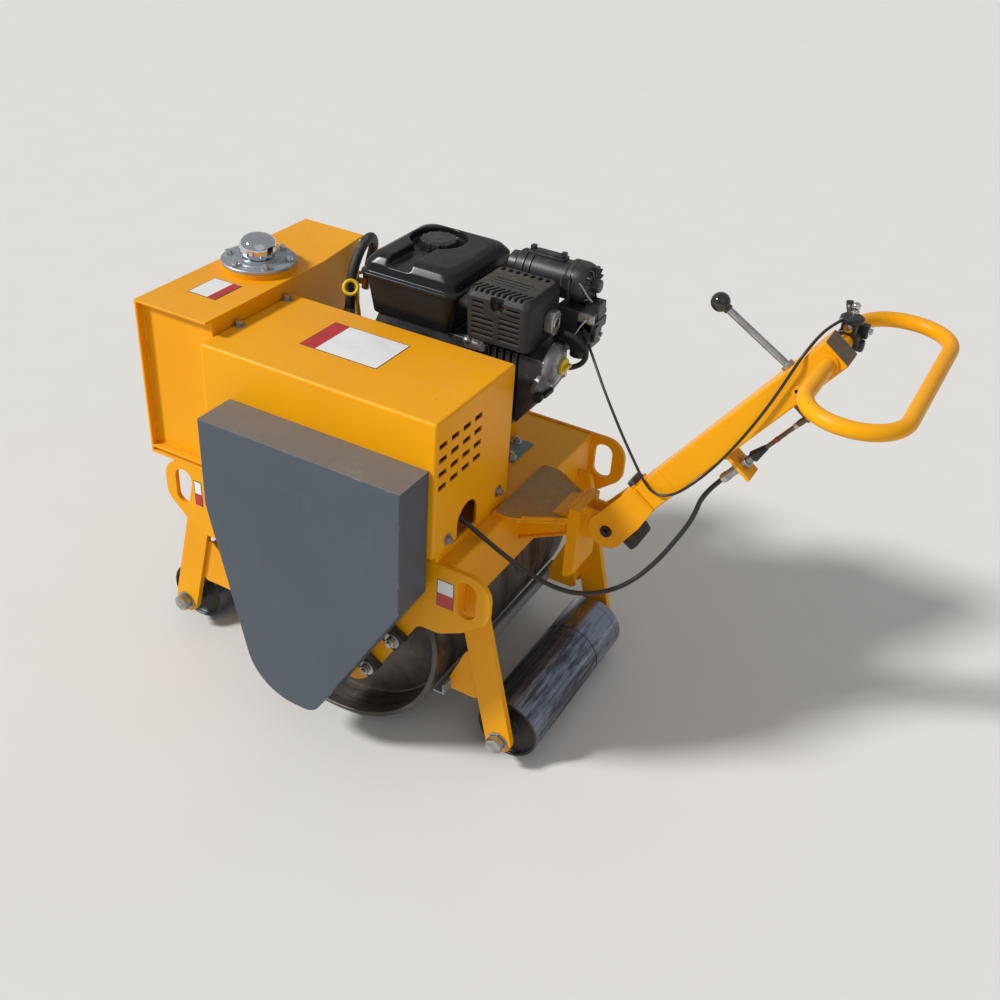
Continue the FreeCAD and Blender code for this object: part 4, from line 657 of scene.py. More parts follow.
def carved(shape, cutters):
    """Return a shape with a form of cutters taken out of it."""
    mesh = bpy.data.meshes.new("cutters")
    cutters.whole.to_mesh(mesh)
    cutters.whole.free()
    tool = bpy.data.objects.new("cutters", mesh)
    bpy.context.scene.collection.objects.link(tool)
    settings = {"object": tool, "operation": "DIFFERENCE", "solver": "EXACT", "use_self": True}
    made = reshaped(shape, [("BOOLEAN", settings)])
    bpy.data.objects.remove(tool)
    return made


def softened(shape, voxel, steps):
    """Return a shape with every edge melted into a cast or pressed form."""
    return reshaped(shape, [
        ("REMESH", {"mode": "VOXEL", "voxel_size": voxel, "adaptivity": 0.0}),
        ("SMOOTH", {"factor": 0.5, "iterations": steps}),
    ])


# Cables and hose, their own control points
CONTROL_ROUTE = (
    (-662.1, 0.0, 645.6), (-633.0, 1.0, 605.0), (-625.0, 3.0, 552.0), (-606.0, 11.0, 505.0),
    (-580.0, 27.0, 451.0), (-546.0, 51.0, 404.0), (-506.0, 82.0, 382.0), (-464.0, 112.0, 381.0),
    (-424.0, 140.0, 401.0), (-380.0, 161.0, 431.0), (-336.0, 175.0, 463.0), (-294.0, 185.0, 494.0),
    (-257.0, 191.0, 518.0),
)
THROTTLE_ROUTE = (
    (-782.0, -70.0, 950.0), (-773.0, -34.0, 950.0), (-766.0, 4.0, 945.0), (-754.0, 38.0, 918.0),
    (-740.0, 37.0, 876.0), (-722.0, 36.5, 826.0), (-700.0, 36.0, 774.0), (-676.0, 36.5, 725.0),
    (-650.0, 36.0, 679.0), (-620.0, 36.5, 636.0), (-590.0, 36.0, 603.0), (-559.0, 35.0, 592.0),
    (-533.0, 30.0, 608.0), (-506.0, 18.0, 634.0), (-474.0, 4.0, 666.0), (-444.0, -9.0, 700.0),
    (-413.0, -29.0, 729.0), (-382.0, -53.0, 757.0), (-354.0, -80.0, 775.0),
)
HOSE_ROUTE = (
    (150.0, -51.0, 700.0), (150.0, -57.0, 742.0), (150.0, -62.0, 788.0), (153.0, -98.0, 830.0),
    (168.0, -154.0, 832.0), (188.0, -194.0, 796.0), (204.0, -201.0, 752.0), (210.0, -200.0, 716.0),
)


def cord_piece(name, route, diameter, finish):
    """Return a tube along a smooth route, and the points of the route's line."""
    curve = bpy.data.curves.new(name, "CURVE")
    curve.dimensions = "3D"
    curve.resolution_u = 10
    line = curve.splines.new("NURBS")
    line.points.add(len(route) - 1)
    for point, place in zip(line.points, route):
        point.co = (*placed(*place), 1)
    line.order_u = 3
    line.use_endpoint_u = True
    holder = bpy.data.objects.new(name, curve)
    bpy.context.scene.collection.objects.link(holder)
    bpy.context.view_layer.update()
    thin = bpy.data.meshes.new_from_object(holder.evaluated_get(bpy.context.evaluated_depsgraph_get()))
    path = [tuple(vertex.co) for vertex in thin.vertices]
    curve.bevel_depth = diameter / 2
    curve.bevel_resolution = 4
    curve.use_fill_caps = True
    bpy.context.view_layer.update()
    mesh = bpy.data.meshes.new_from_object(holder.evaluated_get(bpy.context.evaluated_depsgraph_get()))
    bpy.data.objects.remove(holder)
    mesh.materials.clear()
    mesh.materials.append(finish_of(finish))
    mesh.shade_smooth()
    piece = bpy.data.objects.new(name, mesh)
    bpy.context.scene.collection.objects.link(piece)
    return piece, path


class ROLLER_OT_stage(bpy.types.Operator):
    """Camera, lamps, world and floor"""
    bl_idname = "roller.stage"
    bl_label = "Stage"

    def execute(self, context):
        scene = context.scene
        lens = bpy.data.cameras.new("photo_camera")
        lens.lens = 42.266
        lens.sensor_width = 36.0
        lens.shift_y = -0.002
        camera = bpy.data.objects.new("photo_camera", lens)
        right = Vector((-0.8692, -0.4908, 0.0594))
        up = Vector((0.3174, -0.4620, 0.8281))
        back = Vector((-0.3790, 0.7387, 0.5574))
        turn = Matrix((right, up, back)).transposed().to_4x4()
        camera.matrix_world = Matrix.Translation((-0.84985, 1.6358, 1.712)) @ turn
        scene.collection.objects.link(camera)
        scene.camera = camera
        for name, energy, angle, towards in (
                ("key", 3.05, 8.0, (-1.2, -1.04, -1.25)),
                ("fill", 0.18, 60.0, (1.0, -0.9, -0.9))):
            sun = bpy.data.lights.new(name, "SUN")
            sun.energy = energy
            sun.angle = math.radians(angle)
            lamp = bpy.data.objects.new(name, sun)
            lamp.matrix_world = stood((0, 0, 3), -Vector(towards))
            scene.collection.objects.link(lamp)
        world = bpy.data.worlds.new("studio")
        world.use_nodes = True
        tree = world.node_tree
        tree.nodes.clear()
        rays = tree.nodes.new("ShaderNodeLightPath")
        soft = tree.nodes.new("ShaderNodeBackground")
        soft.inputs["Color"].default_value = (0.97, 0.985, 1.0, 1)
        soft.inputs["Strength"].default_value = 0.36
        plain = tree.nodes.new("ShaderNodeBackground")
        plain.inputs["Color"].default_value = (1, 1, 1, 1)
        plain.inputs["Strength"].default_value = 0.88
        choose = tree.nodes.new("ShaderNodeMixShader")
        end = tree.nodes.new("ShaderNodeOutputWorld")
        tree.links.new(rays.outputs["Is Camera Ray"], choose.inputs[0])
        tree.links.new(soft.outputs[0], choose.inputs[1])
        tree.links.new(plain.outputs[0], choose.inputs[2])
        tree.links.new(choose.outputs[0], end.inputs["Surface"])
        scene.world = world
        scene.view_settings.view_transform = "Standard"
        shape = bmesh.new()
        bmesh.ops.create_grid(shape, x_segments=1, y_segments=1, size=30.0)
        mesh = bpy.data.meshes.new("floor")
        shape.to_mesh(mesh)
        shape.free()
        floor = bpy.data.objects.new("floor", mesh)
        recipe = Recipe("floor")
        colour = tuple(scene.roller_colours.floor)
        body = recipe.mix(recipe.ramp(recipe.noise(7.0, 2.0), 0.3, 0.7) * 0.10, colour, tone(218, 216, 212))
        mesh.materials.append(recipe.finish(colour=body, roughness=0.8, specular=0.2))
        scene.collection.objects.link(floor)
        return {"FINISHED"}


class ROLLER_OT_cords(bpy.types.Operator):
    """Control cable, throttle cable and the hose to the tank"""
    bl_idname = "roller.cords"
    bl_label = "Cables and hose"

    def execute(self, context):
        sizes = context.scene.roller_sizes
        cable, path = cord_piece("control_cable_jacket", CONTROL_ROUTE, sizes.control_cable, "cable_jacket")
        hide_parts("control_cable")
        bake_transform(cable)
        thin, path = cord_piece("throttle_cable_jacket", THROTTLE_ROUTE, sizes.throttle_cable, "cable_jacket")
        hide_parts("throttle_cable")
        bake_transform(thin)
        hose, path = cord_piece("tank_hose_rubber", HOSE_ROUTE, sizes.hose, "rubber")
        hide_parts("tank_hose")
        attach(hose, "frame")
        return {"FINISHED"}


class ROLLER_OT_sheets(bpy.types.Operator):
    """Frame, tank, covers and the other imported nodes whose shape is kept"""
    bl_idname = "roller.sheets"
    bl_label = "Frame and covers"

    def execute(self, context):
        for node, finish, width in (
                ("side_plate_left", "yellow_paint", 1.2), ("side_plate_right", "yellow_paint", 1.2),
                ("leg_rear_left", "yellow_paint", 1.0), ("leg_rear_right", "yellow_paint", 1.0),
                ("leg_front_left", "yellow_paint", 1.0), ("leg_front_right", "yellow_paint", 1.0),
                ("rear_deck", "yellow_paint", 0.9), ("front_deck", "yellow_paint", 0.9),
                ("engine_base", "yellow_paint", 0.8), ("front_tank", "yellow_paint", 0.8),
                ("belt_cover", "yellow_paint", 0.5), ("handle_bracket", "yellow_paint", 1.0),
                ("handle_beam", "yellow_paint", 0.8), ("chain_case", "slate_paint", 1.0),
                ("axles", "dark_steel", 0.8), ("rubber_mounts", "rubber", 1.6),
                ("hose_fittings", "zinc_steel", 0.6), ("rubber_stop", "rubber", 1.2),
                ("hinge_pin", "dark_steel", 1.0)):
            dressed(node, finish, width)
        for name in ("rear", "front"):
            form = Form()
            shape = cad_copy("scraper_" + name)
            form.add(shape, "grey_steel", 0.6)
            form.finishes.append("yellow_paint")
            for face in form.whole.faces:
                if face.calc_center_median().z > 166.0:
                    face.material_index = 1
            form.finish("scraper_" + name + "_finished", "frame", SLOTS["scraper_" + name], ("scraper_" + name,))
        return {"FINISHED"}


class ROLLER_OT_rollers(bpy.types.Operator):
    """Drum and the two support rollers"""
    bl_idname = "roller.rollers"
    bl_label = "Drum and rollers"

    def execute(self, context):
        form = Form()
        half = [(210.0, 30.3), (210.0, 50.0), (208.0, 52.0), (196.5, 52.0), (196.0, 53.0), (196.0, 226.0),
                (198.0, 229.5), (200.0, 230.0), (267.0, 230.0), (268.0, 231.0), (268.0, 237.5), (265.5, 240.0)]
        profile = half + [(-along, radius) for along, radius in reversed(half)]
        form.lathe("drum_steel", DRUM, (0, 1, 0), profile, 160)
        for side in (-1, 1):
            for step in range(8):
                angle = math.tau * (step + 0.5) / 8
                place = DRUM + Vector((84 * math.cos(angle), side * 196, 84 * math.sin(angle)))
                form.bolt("zinc_steel", place, (0, side, 0), 17.0, True, 4.0)
        form.finish("drum_rolled", "drum", SLOTS["drum"], ("drum",))
        for name, x in (("rear_roller", -ROLLER_X), ("front_roller", ROLLER_X)):
            form = Form()
            end = [(206.0, 12.8), (206.0, 20.5), (205.0, 21.5), (187.0, 21.5), (186.0, 22.5), (186.0, 58.0),
                   (187.0, 59.0), (193.0, 59.0), (194.0, 60.0), (194.0, 63.0), (192.0, 65.0)]
            groove = [(-73.0, 65.0), (-73.8, 63.8), (-77.2, 63.8), (-78.0, 65.0)]
            mirrored = [(-along, radius) for along, radius in reversed(end)]
            form.lathe("roller_steel", (x, 0, ROLLER_Z), (0, 1, 0), end + groove + mirrored, 128)
            form.finish(name + "_rolled", name, SLOTS[name], (name,))
        return {"FINISHED"}


class ROLLER_OT_fuel_tank(bpy.types.Operator):
    """Pressed fuel tank with its cap"""
    bl_idname = "roller.fuel_tank"
    bl_label = "Fuel tank"

    def execute(self, context):
        voxel = context.scene.roller_sizes.voxel * 1000
        form = Form()
        form.add(softened(cad_copy("fuel_tank"), voxel, 7), "black_paint")
        form.finish("fuel_tank_pressed", "frame", SLOTS["fuel_tank"], ("fuel_tank",), 60.0)
        form = Form()
        centre = Vector((-15.0, -111.0, 868.0))
        form.lathe("black_plastic", centre, (0, 0, 1), [
            (0.0, 0.0), (0.0, 33.5), (2.0, 35.0), (9.0, 35.2), (14.0, 33.5), (16.5, 30.0), (17.4, 24.0),
            (17.0, 20.0), (16.2, 18.5), (16.2, 8.0), (17.6, 5.0), (18.0, 0.0)], 96)
        for step in range(12):
            angle = math.tau * step / 12
            ray = Vector((math.cos(angle), math.sin(angle), 0))
            form.rod("black_plastic", centre + ray * 32.4 + Vector((0, 0, 0.5)),
                     centre + ray * 31.0 + Vector((0, 0, 15.5)), 6.0, 1.8, 20, 4.8)
        form.finish("fuel_cap_moulded", "frame", SLOTS["fuel_cap"], ("fuel_cap",))
        return {"FINISHED"}


class ROLLER_OT_muffler(bpy.types.Operator):
    """Slotted muffler guard, its outlet and the exhaust flange"""
    bl_idname = "roller.muffler"
    bl_label = "Muffler"

    def execute(self, context):
        cutters = Form()
        for step in range(10):
            x = -270.0 + step * 11.2
            turn = Matrix.Translation((x, 10.0, 875.0)) @ Matrix.Rotation(math.radians(-24), 4, "Z")
            cutters.block("dark_paint", (-2.2, -15, -8), (2.2, 15, 8), 0.0, turn)
        for row in range(3):
            y = -18.0 - row * 11
            cutters.block("dark_paint", (-258, y - 2.0, 869.0), (-182, y + 2.0, 880), 0.0)
        for step in range(7):
            x = -264.0 + step * 15.0
            cutters.block("dark_paint", (x - 3.6, -86, 868), (x + 3.6, -72, 880), 0.0)
        cutters.rod("dark_paint", (-221.0, 22.0, 852.0), (-221.0, 50.0, 852.0), 12.0, 0.0, 24)
        cutters.block("dark_paint", (-233, 22, 852), (-209, 50, 866), 0.0)
        shape = softened(carved(cad_copy("muffler_guard"), cutters), 1.5, 3)
        form = Form()
        form.add(shape, "dark_paint")
        form.bolt("dark_steel", (-221.0, 22.0, 852.0), (0, 1, 0), 10.0, True, 2.0)
        form.finish("muffler_guard_pressed", "frame", SLOTS["muffler_guard"], ("muffler_guard",), 60.0)
        form = Form()
        outline = [(-22, -9), (-22, 9), (-13, 17), (13, 17), (22, 9), (22, -9), (13, -17), (-13, -17)]
        form.slab("zinc_steel", outline, (-286.3, -45.0, 816.0), (-1, 0, 0), 17.0, 1.6,
                  turn=Matrix.Translation((-286.3, -45.0, 816.0)) @ Matrix.Rotation(-math.pi / 2, 4, "Y"))
        # Dark disc in the outlet's mouth: painted shade for the bore, which is not cut.
        form.rod("shade_and_seam_dark", (-303.0, -45.0, 816.0), (-303.6, -45.0, 816.0), 9.0, 0.0)
        form.ring("zinc_steel", (-303.4, -45.0, 816.0), (1, 0, 0), 10.0, 1.6)
        form.finish("muffler_outlet_cap", "frame", SLOTS["muffler_outlet"], ("muffler_outlet",))
        form = Form()
        form.block("cast_aluminium", (-196, -14, 752), (-154, 22, 770), 5.0)
        form.rod("cast_aluminium", (-176, 4, 764), (-176, 4, 782), 17.0, 2.0, 32, 14.0)
        form.ball("cast_aluminium", (-160, 14, 766), 11.0, 0.8)
        for x in (-190, -162):
            form.bolt("zinc_steel", (x, 18, 768), (0, 0, 1), 9.0, True, 3.0)
        form.finish("exhaust_flange", "frame", SLOTS["engine_cylinder"])
        return {"FINISHED"}


class ROLLER_OT_intake(bpy.types.Operator):
    """Air cleaner, carburettor and the throttle's levers"""
    bl_idname = "roller.intake"
    bl_label = "Air cleaner and carburettor"

    def execute(self, context):
        form = Form()
        start = Vector((-158.0, -140.0, 862.0))
        form.lathe("black_plastic", start, (-1, 0, 0), [
            (0.0, 0.0), (0.0, 22.0), (2.0, 25.0), (16.0, 26.0), (19.0, 31.0), (22.0, 33.0), (34.0, 33.0),
            (34.5, 35.0), (37.0, 35.4), (37.5, 33.0), (48.0, 33.0), (48.5, 35.0), (51.0, 35.4), (51.5, 33.0),
            (121.0, 33.0), (124.0, 36.5), (126.0, 38.0), (134.0, 38.0), (135.0, 36.8), (138.0, 36.8),
            (139.0, 38.0), (150.0, 38.0), (158.0, 36.0), (165.0, 31.0), (168.0, 25.0), (169.0, 14.0),
            (174.0, 13.0), (181.0, 12.0), (182.0, 10.0), (182.0, 0.0)], 72)
        for step in range(14):
            angle = math.tau * step / 14
            turn = stood(start + Vector((-128.0, 0, 0)), (-1, 0, 0)) @ Matrix.Rotation(angle, 4, "Z")
            form.block("black_plastic", (15, -1.6, 36), (35, 1.6, 42.5), 0.8, turn)
        form.block("black_plastic", (-268, -152, 891), (-196, -128, 899), 2.0)
        form.block("black_plastic", (-262, -148, 898), (-206, -132, 902), 1.2)
        for x in (-200.0, -262.0):
            form.block("black_plastic", (x - 5, -146, 890), (x + 5, -134, 908), 2.0)
        form.tube("zinc_steel", [(-292, -112, 884), (-318, -104, 872), (-330, -108, 850), (-334, -120, 838)], 2.2)
        form.block("black_plastic", (-296, -116, 838), (-276, -100, 880), 3.0)
        form.block("black_plastic", (-300, -176, 826), (-268, -160, 846), 3.0)
        form.finish("air_cleaner_moulded", "frame", SLOTS["air_cleaner"], ("air_cleaner",))

        form = Form()
        shape = cad_copy("carburettor")
        form.add(shape, "cast_dark", 1.2)
        for y in (-142.0, -106.0):
            form.bolt("zinc_steel", (-346.5, y, 770.0), (-1, 0, 0), 8.0)
        form.bolt("zinc_steel", (-318.0, -124.0, 727.0), (0, 0, -1), 10.0)
        form.finish("carburettor_cast", "frame", SLOTS["carburettor"], ("carburettor",))

        form = Form()
        form.block("black_plastic", (-352, -156, 786), (-318, -98, 806), 3.0)
        form.block("black_plastic", (-350, -152, 804), (-322, -120, 836), 3.0)
        form.block("black_plastic", (-356, -118, 770), (-344, -100, 800), 2.0)
        form.rod("black_plastic", (-334, -158, 808), (-334, -166, 808), 12.0, 1.5)
        form.block("zinc_steel", (-352, -100, 806), (-320, -96, 822), 0.8)
        form.rod("zinc_steel", (-346, -104, 812), (-346, -90, 812), 4.0)
        form.rod("dark_steel", (-338, -88, 768), (-338, -88, 800), 2.0)
        form.tube("zinc_steel", [(-340, -92, 815), (-334, -78, 806), (-330, -70, 792), (-322, -70, 784)], 1.4)
        form.tube("rubber", [(-312, -64, 792), (-330, -66, 790), (-348, -78, 772), (-349, -90, 744),
                             (-336, -90, 722), (-318, -84, 716)], 5.0)
        form.finish("throttle_levers", "frame", SLOTS["air_cleaner"])
        return {"FINISHED"}


class ROLLER_OT_engine(bpy.types.Operator):
    """Crankcase, finned cylinder, oil filler and recoil starter"""
    bl_idname = "roller.engine"
    bl_label = "Engine"

    def execute(self, context):
        form = Form()
        form.add(cad_copy("engine_crankcase"), "cast_dark", 2.0)
        for step in range(8):
            angle = math.tau * (step + 0.5) / 8
            form.bolt("zinc_steel", (-38 + 92 * math.cos(angle) * 0.9, 30.0, 640 + 78 * math.sin(angle)),
                      (0, 1, 0), 10.0)
        for x in (-138.0, 58.0):
            for y in (-138.0, 8.0):
                form.bolt("zinc_steel", (x, y, 548.0), (0, 0, 1), 13.0)
        form.rod("dark_steel", (-150.0, -60.0, 566.0), (-172.0, -60.0, 566.0), 9.0, 1.0)
        form.hexagon("dark_steel", (-172.0, -60.0, 566.0), (-1, 0, 0), 15.0, 6.0)
        form.finish("engine_crankcase_cast", "frame", SLOTS["engine_crankcase"], ("engine_crankcase",))

        form = Form()
        form.add(cad_copy("engine_cylinder"), "cast_dark", 1.2)
        for y, z in ((-84.0, 756.0), (0.0, 756.0), (0.0, 706.0), (-84.0, 700.0)):
            form.bolt("zinc_steel", (-308.0, y, z), (-1, 0, 0), 9.0)
        for row in range(5):
            z = 622.0 + row * 9
            form.block("cast_dark", (-250, -94 - 3, z), (-176, -90, z + 3), 0.8)
        form.finish("engine_cylinder_cast", "frame", SLOTS["engine_cylinder"], ("engine_cylinder",))

        form = Form()
        form.lathe("clear_grey", (-306.0, -30.0, 744.0), (-1, 0, 0), [
            (0.0, 0.0), (0.0, 38.0), (3.0, 40.0), (9.0, 39.0), (15.0, 34.0), (18.0, 27.0), (18.5, 20.0),
            (18.5, 0.0)], 56)
        form.lathe("clear_grey", (-300.0, -4.0, 714.0), (-1, 0.15, -0.2), [
            (0.0, 0.0), (0.0, 26.0), (8.0, 27.0), (14.0, 22.0), (17.0, 12.0), (17.5, 0.0)], 40)
        form.block("dark_steel", (-322, -22, 694), (-300, 12, 704), 3.0)
        form.rod("dark_steel", (-312, 16, 700), (-312, 30, 700), 9.0, 2.0)
        form.finish("oil_housing", "frame", SLOTS["engine_cylinder"])

        form = Form()
        form.lathe("yellow_plastic", (-322.0, -44.0, 738.0), (-1, 0, 0), [
            (0.0, 0.0), (0.0, 15.0), (1.0, 16.0), (6.0, 16.0), (7.5, 14.5), (8.0, 0.0)], 24)
        form.block("yellow_plastic", (-336.0, -57.0, 734.5), (-329.0, -31.0, 741.5), 2.0)
        form.finish("oil_cap_moulded", "frame", SLOTS["oil_cap"], ("oil_cap",))

        form = Form()
        face = Vector((-38.0, -160.3, 640.0))
        form.lathe("dark_paint", face, (0, -1, 0), [
            (0.0, 0.0), (0.0, 98.0), (20.0, 98.0), (34.0, 95.0), (47.0, 88.0), (56.0, 78.0), (60.0, 68.0),
            (61.0, 60.0), (59.0, 56.0), (58.0, 40.0), (60.0, 36.0), (62.0, 30.0), (62.0, 0.0)], 96)
        # Dark strips on the starter's face: painted shade standing for its vent slots, which are not cut.
        for step in range(24):
            angle = math.tau * step / 24
            turn = stood(face, (0, -1, 0)) @ Matrix.Rotation(angle, 4, "Z")
            form.block("shade_and_seam_dark", (41, -2.2, 57.6), (54, 2.2, 58.6), 0.0, turn)
        for step in range(3):
            angle = math.tau * step / 3 + 0.5
            ray = Vector((math.cos(angle), 0, math.sin(angle)))
            form.block("dark_paint", face + ray * 101 + Vector((-9, -12, -9)), face + ray * 101 + Vector((9, 0, 9)),
                       3.0)
            form.bolt("zinc_steel", face + ray * 102 + Vector((0, -12, 0)), (0, -1, 0), 9.0)
        form.tube("black_plastic", [face + Vector((-60, -66, 62)), face + Vector((-84, -66, 78)),
                                    face + Vector((-100, -60, 76))], 6.0)
        form.block("black_plastic", face + Vector((-122, -68, 66)), face + Vector((-98, -52, 86)), 4.0)
        form.finish("recoil_starter_pressed", "frame", SLOTS["recoil_starter"], ("recoil_starter",))
        return {"FINISHED"}


class ROLLER_OT_breather(bpy.types.Operator):
    """Breather flange with its screws and the chrome dome"""
    bl_idname = "roller.breather"
    bl_label = "Breather"

    def execute(self, context):
        form = Form()
        base = Vector((299.0, 33.0, 806.0))
        form.lathe("flange_steel", base, (0, 0, 1), [
            (0.0, 0.0), (0.0, 71.0), (1.0, 72.0), (6.0, 72.0), (7.0, 71.0), (7.0, 50.0), (8.4, 49.0), (8.4, 0.0)],
            96)
        for step in range(6):
            angle = math.tau * (step + 0.35) / 6
            spot = base + Vector((60 * math.cos(angle), 60 * math.sin(angle), 7.0))
            form.rod("flange_steel", spot, spot + Vector((0, 0, 1.6)), 8.8, 0.4)
            form.hexagon("chrome", spot + Vector((0, 0, 1.6)), (0, 0, 1), 12.5, 7.0, 1.4)
        form.finish("breather_flange_steel", "frame", SLOTS["breather_flange"], ("breather_flange",))
        form = Form()
        form.lathe("chrome", base + Vector((0, 0, 7)), (0, 0, 1), [
            (0.0, 0.0), (0.0, 33.0), (1.2, 34.5), (4.0, 34.5), (5.0, 33.0), (5.5, 28.0), (9.0, 28.0), (10.0, 33.0),
            (11.0, 35.6), (13.0, 36.0), (24.0, 36.0), (31.0, 34.6), (37.0, 31.0), (41.6, 25.5), (44.8, 18.0),
            (46.4, 9.5), (47.0, 0.0)], 96)
        form.finish("breather_cap_chromed", "frame", SLOTS["breather_cap"], ("breather_cap",))
        return {"FINISHED"}


class ROLLER_OT_fasteners(bpy.types.Operator):
    """Bolts of the cover, frame, rubber mounts and roller pins"""
    bl_idname = "roller.fasteners"
    bl_label = "Fasteners"

    def execute(self, context):
        across = context.scene.roller_sizes.bolt_across * 1000
        form = Form()
        for place, axis, size in (
                ((-275.5, 260, 517), (-1, 0, 0), across), ((-275.5, 83, 520), (-1, 0, 0), across),
                ((213.5, 260, 520), (1, 0, 0), across), ((213.5, 90, 520), (1, 0, 0), across),
                ((-160, 44, 520), (0, -1, 0), across), ((60, 44, 520), (0, -1, 0), across)):
            form.bolt("zinc_steel", place, axis, size, True, 3.0)
        for side in (-1, 1):
            for end in (-1, 1):
                pin = Vector((end * ROLLER_X, side * 230.0, ROLLER_Z))
                form.rod("zinc_steel", pin, pin + Vector((0, side * 3.0, 0)), 21.0, 0.6)
                form.hexagon("zinc_steel", pin + Vector((0, side * 3.0, 0)), (0, side, 0), 32.0, 17.0, 2.4)
                inner = Vector((end * ROLLER_X, side * 216.0, ROLLER_Z))
                form.rod("zinc_steel", inner, inner - Vector((0, side * 4.0, 0)), 19.0, 0.6)
            for share in (0.24, 0.70):
                for end in (-1, 1):
                    x = DRUM.x + end * (194.0 - 124.0 * share)
                    z = 326.0 - 204.0 * share
                    if side > 0:
                        form.bolt("zinc_steel", (x, 302.0, z), (0, 1, 0), 17.0, True, 5.0)
                    else:
                        form.rod("zinc_steel", (x, -299.0, z), (x, -301.9, z), 12.0, 0.8)
            for step in range(6):
                angle = math.tau * (step + 0.25) / 6
                spot = DRUM + Vector((58 * math.cos(angle), side * 292.0, 58 * math.sin(angle)))
                form.bolt("zinc_steel", spot, (0, side, 0), 13.0)
            for x in (-150.0, 90.0):
                form.bolt("zinc_steel", (x, side * 22 - 70, 534.0), (0, 0, 1), 13.0)
        form.finish("bolts_bright", "frame", SLOTS["axles"])
        form = Form()
        for y in (209.0, 71.0):
            form.bolt("zinc_steel", (204.0, y, 766.0), (0, 0, 1), across + 1)
        form.bolt("dark_steel", (HINGE.x, 34.0, HINGE.z), (0, 1, 0), 9.0, False)
        form.finish("bolts_dark", "frame", SLOTS["axles"])
        form = Form()
        form.block("teal_paint", (-222, -164, 476), (-173, -79, 479.5), 0.8)
        for x, y in ((-210, -92), (-190, -150)):
            form.bolt("zinc_steel", (x, y, 479.5), (0, 0, 1), 13.0, True, 4.0)
        form.finish("spacer_plate", "frame", SLOTS["engine_base"])
        return {"FINISHED"}


class ROLLER_OT_welds(bpy.types.Operator):
    """Weld beads along the seams of the frame and handle"""
    bl_idname = "roller.welds"
    bl_label = "Weld beads"

    def execute(self, context):
        radius = context.scene.roller_sizes.weld_radius * 1000
        form = Form()

        def bead(*points):
            form.tube("weld_bead", points, radius, 2, False)

        for side in (-1, 1):
            bead((-303, side * 40.5, 400), (-303, side * 40.5, 462))
            bead((-404, side * 40.5, 450), (-404, side * 40.5, 496))
            bead((-303, side * 40.5, 400), (-404, side * 40.5, 450))
            bead((-404, side * 44, 484), (-330, side * 88, 484))
            bead((-275, side * 99, 476.8), (-320, side * 96, 477.5), (-402, side * 47, 477.5))
            bead((-303.5, side * 273, 360), (-303.5, side * 273, 472))
            bead((281.5, side * 273, 360), (281.5, side * 273, 472))
            bead((-300, side * 273.5, 476.3), (-124, side * 273.5, 476.3))
            bead((100, side * 273.5, 476.3), (280, side * 273.5, 476.3))
            for x, lean in ((-303.5, -1), (281.5, 1)):
                bead((x, side * 216, 356), (x, side * 216, 408))
                bead((x, side * 230, 356), (x, side * 230, 408))
            bead((-426, side * 22, 480), (-426, side * 22, 508))
            bead((213, 268.5 if side > 0 else -204, 494), (374, 268.5 if side > 0 else -204, 494))
        bead((-404.5, -42, 508.3), (-404.5, 42, 508.3))
        bead((374.5, 268.8, 494), (374.5, 268.8, 790))
        bead((374.5, -203, 494), (374.5, -203, 790))
        form.finish("weld_beads_frame", "frame", SLOTS["rear_deck"])
        form = Form()
        for side in (-1, 1):
            form.ring("weld_bead", (-795.0, side * 28.5, 917.0), (0, 1, 0), 14.0, 3.0)
            bead(on_handle(110, -20, side * 28.5), on_handle(110, 28, side * 28.5))
        bead(on_handle(109, 31, -26), on_handle(109, 31, 26))
        bead(on_handle(290, -23.5, -20), on_handle(290, -23.5, 20))
        for side in (-1, 1):
            form.tube("shade_and_seam_dark", [on_handle(152, -16, side * 25.3), on_handle(152, 26, side * 25.3)], 0.5, 2)
        form.finish("weld_beads_handle", "handle", SLOTS["handle_beam"])
        return {"FINISHED"}


class ROLLER_OT_signs(bpy.types.Operator):
    """Bare signs on the cover, tank and side plates"""
    bl_idname = "roller.signs"
    bl_label = "Signs"

    def execute(self, context):
        form = Form()

        def sign(low, high, band_low, band_high, axis):
            """Add a foil with a white field and a red band, its thickness along one axis."""
            lift = Vector([0.2 if index == abs(axis) - 1 else 0 for index in range(3)]) * (1 if axis > 0 else -1)
            inset = Vector([0 if index == abs(axis) - 1 else 1.6 for index in range(3)])
            form.block("sign_dark", low, high, 0.0)
            form.block("sign_white", Vector(low) + inset + lift, Vector(high) - inset + lift, 0.0)
            form.block("sign_red", Vector(band_low) + inset + lift * 2, Vector(band_high) - inset + lift * 2, 0.0)

        sign((-90, 98, 766.0), (73, 205.5, 766.3), (38, 98, 766.0), (73, 205.5, 766.3), 3)
        sign((262, 128, 796.0), (327, 203, 796.3), (262, 128, 796.0), (284, 203, 796.3), 3)
        sign((-308, 284.0, 387), (-273, 284.3, 446), (-308, 284.0, 387), (-273, 284.3, 418), 2)
        sign((261, 284.0, 389), (280, 284.3, 445), (261, 284.0, 389), (280, 284.3, 418), 2)
        form.finish("signs", "frame", SLOTS["belt_cover"])
        return {"FINISHED"}


